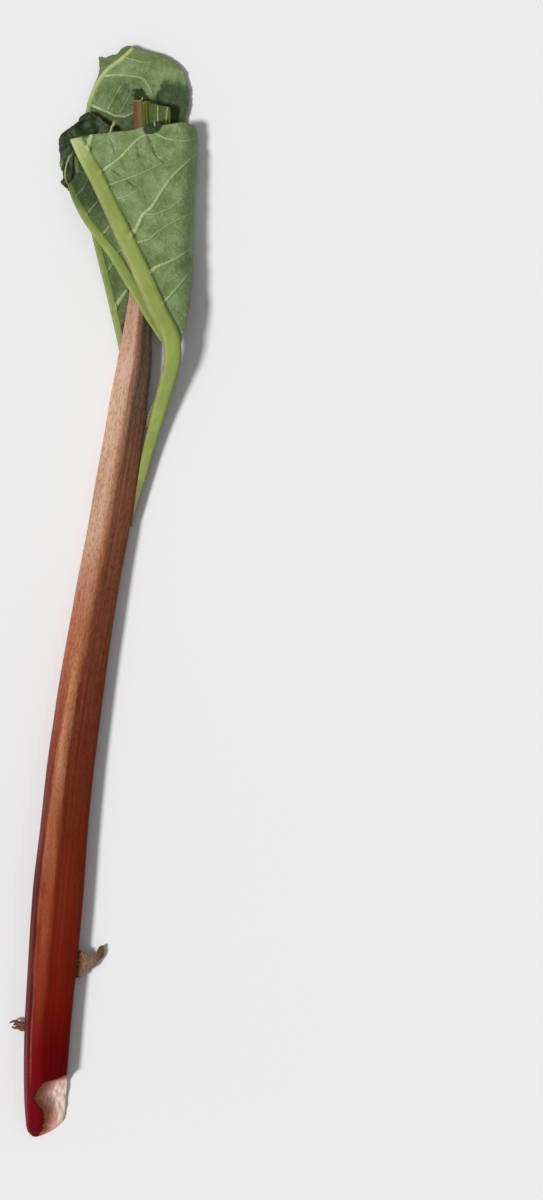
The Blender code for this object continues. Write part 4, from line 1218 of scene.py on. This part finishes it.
def studio_floor(settings):
    """Matt pale floor with the faintest mottle."""
    make = Nodes("studio_floor")
    mottle = make.noise(make.add("ShaderNodeTexCoord", output="Object"), 3.0, 2.0)
    pale = tuple(settings.floor_colour)
    colour = make.mix(make.step(mottle, 0.3, 0.7), pale, tinted(pale, (0.985, 0.985, 0.985)))
    return make.finish(colour, 0.9, specular=0.1)


def shared(skin, settings):
    """The material that the skin's function makes, made only once."""
    return bpy.data.materials.get(skin.__name__) or skin(settings)


def add_lobe(name, lobe, settings, nodes=(), skin=leaf_skin):
    """Make one lobe or scrap of the leaf, or the dry flap."""
    add_piece(name, lobe_mesh(lobe, settings), shared(skin, settings), nodes)


class RHUBARB_OT_stalk(bpy.types.Operator):
    """Build the stem, its torn base and the midrib"""

    bl_idname = "rhubarb.stalk"
    bl_label = "Stalk"

    def execute(self, context):
        settings = context.scene.rhubarb
        add_piece("stalk_skin", stalk_mesh(settings), stem_skin(settings), ("stalk",))
        return {"FINISHED"}


class RHUBARB_OT_front_lobe(bpy.types.Operator):
    """Build the folded lobe on top of the leaf"""

    bl_idname = "rhubarb.front_lobe"
    bl_label = "Front lobe"

    def execute(self, context):
        settings = context.scene.rhubarb
        add_lobe("front_lobe", FRONT, settings, ("front_leaf_lobe",))
        add_lobe("curled_scrap", CURL, settings)
        slivers = strand_mesh(SLIVERS, SLIVER_BROWNING, rings=24, sides=8, seed=83.0, wrinkle=0.4)
        add_piece("torn_slivers", slivers, shared(torn_fibre, settings), ())
        return {"FINISHED"}


class RHUBARB_OT_side_lobe(bpy.types.Operator):
    """Build the narrow lobe under the front one, with its peeled fibre"""

    bl_idname = "rhubarb.side_lobe"
    bl_label = "Side lobe"

    def execute(self, context):
        settings = context.scene.rhubarb
        add_lobe("side_lobe", SIDE, settings, ("side_leaf_lobe",))
        fibre = strand_mesh((FIBRE,), FIBRE_BROWNING, rings=60, sides=10, seed=61.0, wrinkle=0.5)
        add_piece("peeled_fibre", fibre, shared(torn_fibre, settings), ())
        return {"FINISHED"}


class RHUBARB_OT_outer_lobe(bpy.types.Operator):
    """Build the outer lobe with its dark crumpled margin"""

    bl_idname = "rhubarb.outer_lobe"
    bl_label = "Outer lobe"

    def execute(self, context):
        add_lobe("outer_lobe", OUTER, context.scene.rhubarb, ("outer_leaf_lobe",))
        return {"FINISHED"}


class RHUBARB_OT_back_lobe(bpy.types.Operator):
    """Build the lobe behind the midrib's cut end"""

    bl_idname = "rhubarb.back_lobe"
    bl_label = "Back lobe"

    def execute(self, context):
        add_lobe("back_lobe", BACK, context.scene.rhubarb, ("back_leaf_lobe",))
        return {"FINISHED"}


class RHUBARB_OT_midrib_strip(bpy.types.Operator):
    """Build the strip of blade along the midrib"""

    bl_idname = "rhubarb.midrib_strip"
    bl_label = "Midrib strip"

    def execute(self, context):
        add_lobe("midrib_strip", STRIP, context.scene.rhubarb, ("midrib_leaf_strip",))
        return {"FINISHED"}


class RHUBARB_OT_dry_sheath(bpy.types.Operator):
    """Build the dry remains of sheath near the base"""

    bl_idname = "rhubarb.dry_sheath"
    bl_label = "Dry sheath"

    def execute(self, context):
        settings = context.scene.rhubarb
        add_lobe("sheath_flap", FLAP, settings, ("dry_sheath_flap",), dry_skin)
        wisp = strand_mesh(WISPS, WISP_BROWNING, rings=40, sides=16, seed=71.0, wrinkle=0.45)
        add_piece("sheath_wisp", wisp, shared(dry_skin, settings), ("dry_sheath_wisp",))
        return {"FINISHED"}


# The studio. The first three are in metres.
FLOOR_RADIUS = 60.0
FLOOR_LEVEL = -0.0002
CAMERA_HEIGHT = 1.5
FLOOR_SIDES = 96
CAMERA_LENS = 100.0
VIEW_CENTRE = (78.9, 241.05)  # what the camera looks at, in the stalk's own frame
VIEW_TILT = 5.35  # degrees that the stalk leans in the picture
KEY_FROM = (-0.62, -0.25, 0.8)  # the direction that the soft light comes from
KEY_ANGLE = 12.0  # how wide the soft light looks from the stalk, in degrees


class RHUBARB_OT_stage(bpy.types.Operator):
    """Build the floor, the lights and the camera"""

    bl_idname = "rhubarb.stage"
    bl_label = "Stage"

    def execute(self, context):
        settings = context.scene.rhubarb
        scene = context.scene
        floor = bpy.data.objects.new("floor", floor_mesh())
        floor.data.materials.append(studio_floor(settings))
        scene.collection.objects.link(floor)
        add_lights(scene, settings)
        add_camera(scene)
        return {"FINISHED"}


def floor_mesh():
    """A wide round floor."""
    builder = bmesh.new()
    bmesh.ops.create_circle(builder, cap_ends=True, segments=FLOOR_SIDES, radius=FLOOR_RADIUS)
    bmesh.ops.translate(builder, verts=builder.verts, vec=(0, 0, FLOOR_LEVEL))
    mesh = bpy.data.meshes.new("floor")
    builder.to_mesh(mesh)
    builder.free()
    return mesh


def add_lights(scene, settings):
    """A large soft light from the left and an even sky."""
    world = bpy.data.worlds.new("sky")
    world.use_nodes = True
    background = world.node_tree.nodes["Background"]
    background.inputs["Color"].default_value = (1.0, 1.0, 1.0, 1.0)
    background.inputs["Strength"].default_value = settings.sky_strength
    scene.world = world
    data = bpy.data.lights.new("key", "SUN")
    data.angle = math.radians(KEY_ANGLE)
    data.energy = settings.key_strength
    key = bpy.data.objects.new("key", data)
    key.rotation_euler = Vector(KEY_FROM).to_track_quat("Z", "Y").to_euler()
    scene.collection.objects.link(key)
    scene.view_settings.view_transform = "Standard"


def add_camera(scene):
    """Look straight down on the stalk, turned so that it leans as it does in the packet."""
    data = bpy.data.cameras.new("camera")
    data.lens = CAMERA_LENS
    camera = bpy.data.objects.new("camera", data)
    origin = stalk_origin()
    camera.location = (origin[0] + VIEW_CENTRE[0] * MM, origin[1] + VIEW_CENTRE[1] * MM,
                       CAMERA_HEIGHT)
    camera.rotation_euler = (0.0, 0.0, math.radians(VIEW_TILT))
    scene.collection.objects.link(camera)
    scene.camera = camera


STEPS = (RHUBARB_OT_stage, RHUBARB_OT_stalk, RHUBARB_OT_front_lobe, RHUBARB_OT_side_lobe,
         RHUBARB_OT_outer_lobe, RHUBARB_OT_back_lobe, RHUBARB_OT_midrib_strip,
         RHUBARB_OT_dry_sheath)


class RHUBARB_PT_panel(bpy.types.Panel):
    """The steps and settings, in the 3D view's sidebar"""

    bl_idname = "RHUBARB_PT_panel"
    bl_label = "Rhubarb stalk"
    bl_space_type = "VIEW_3D"
    bl_region_type = "UI"
    bl_category = "Rhubarb"

    def draw(self, context):
        settings = context.scene.rhubarb
        for label in settings.bl_rna.properties.keys():
            if label not in ("rna_type", "name"):
                self.layout.prop(settings, label)
        for step in STEPS:
            self.layout.operator(step.bl_idname)


CLASSES = (RhubarbSettings, *STEPS, RHUBARB_PT_panel)


def register():
    """Make the settings, steps and panel known."""
    for cls in CLASSES:
        bpy.utils.register_class(cls)
    bpy.types.Scene.rhubarb = PointerProperty(type=RhubarbSettings)


def unregister():
    """Take them away again."""
    del bpy.types.Scene.rhubarb
    for cls in reversed(CLASSES):
        bpy.utils.unregister_class(cls)


def main():
    register()
    bpy.ops.rhubarb.stage()
    bpy.ops.rhubarb.stalk()
    bpy.ops.rhubarb.front_lobe()
    bpy.ops.rhubarb.side_lobe()
    bpy.ops.rhubarb.outer_lobe()
    bpy.ops.rhubarb.back_lobe()
    bpy.ops.rhubarb.midrib_strip()
    bpy.ops.rhubarb.dry_sheath()


if __name__ == "__main__":
    main()
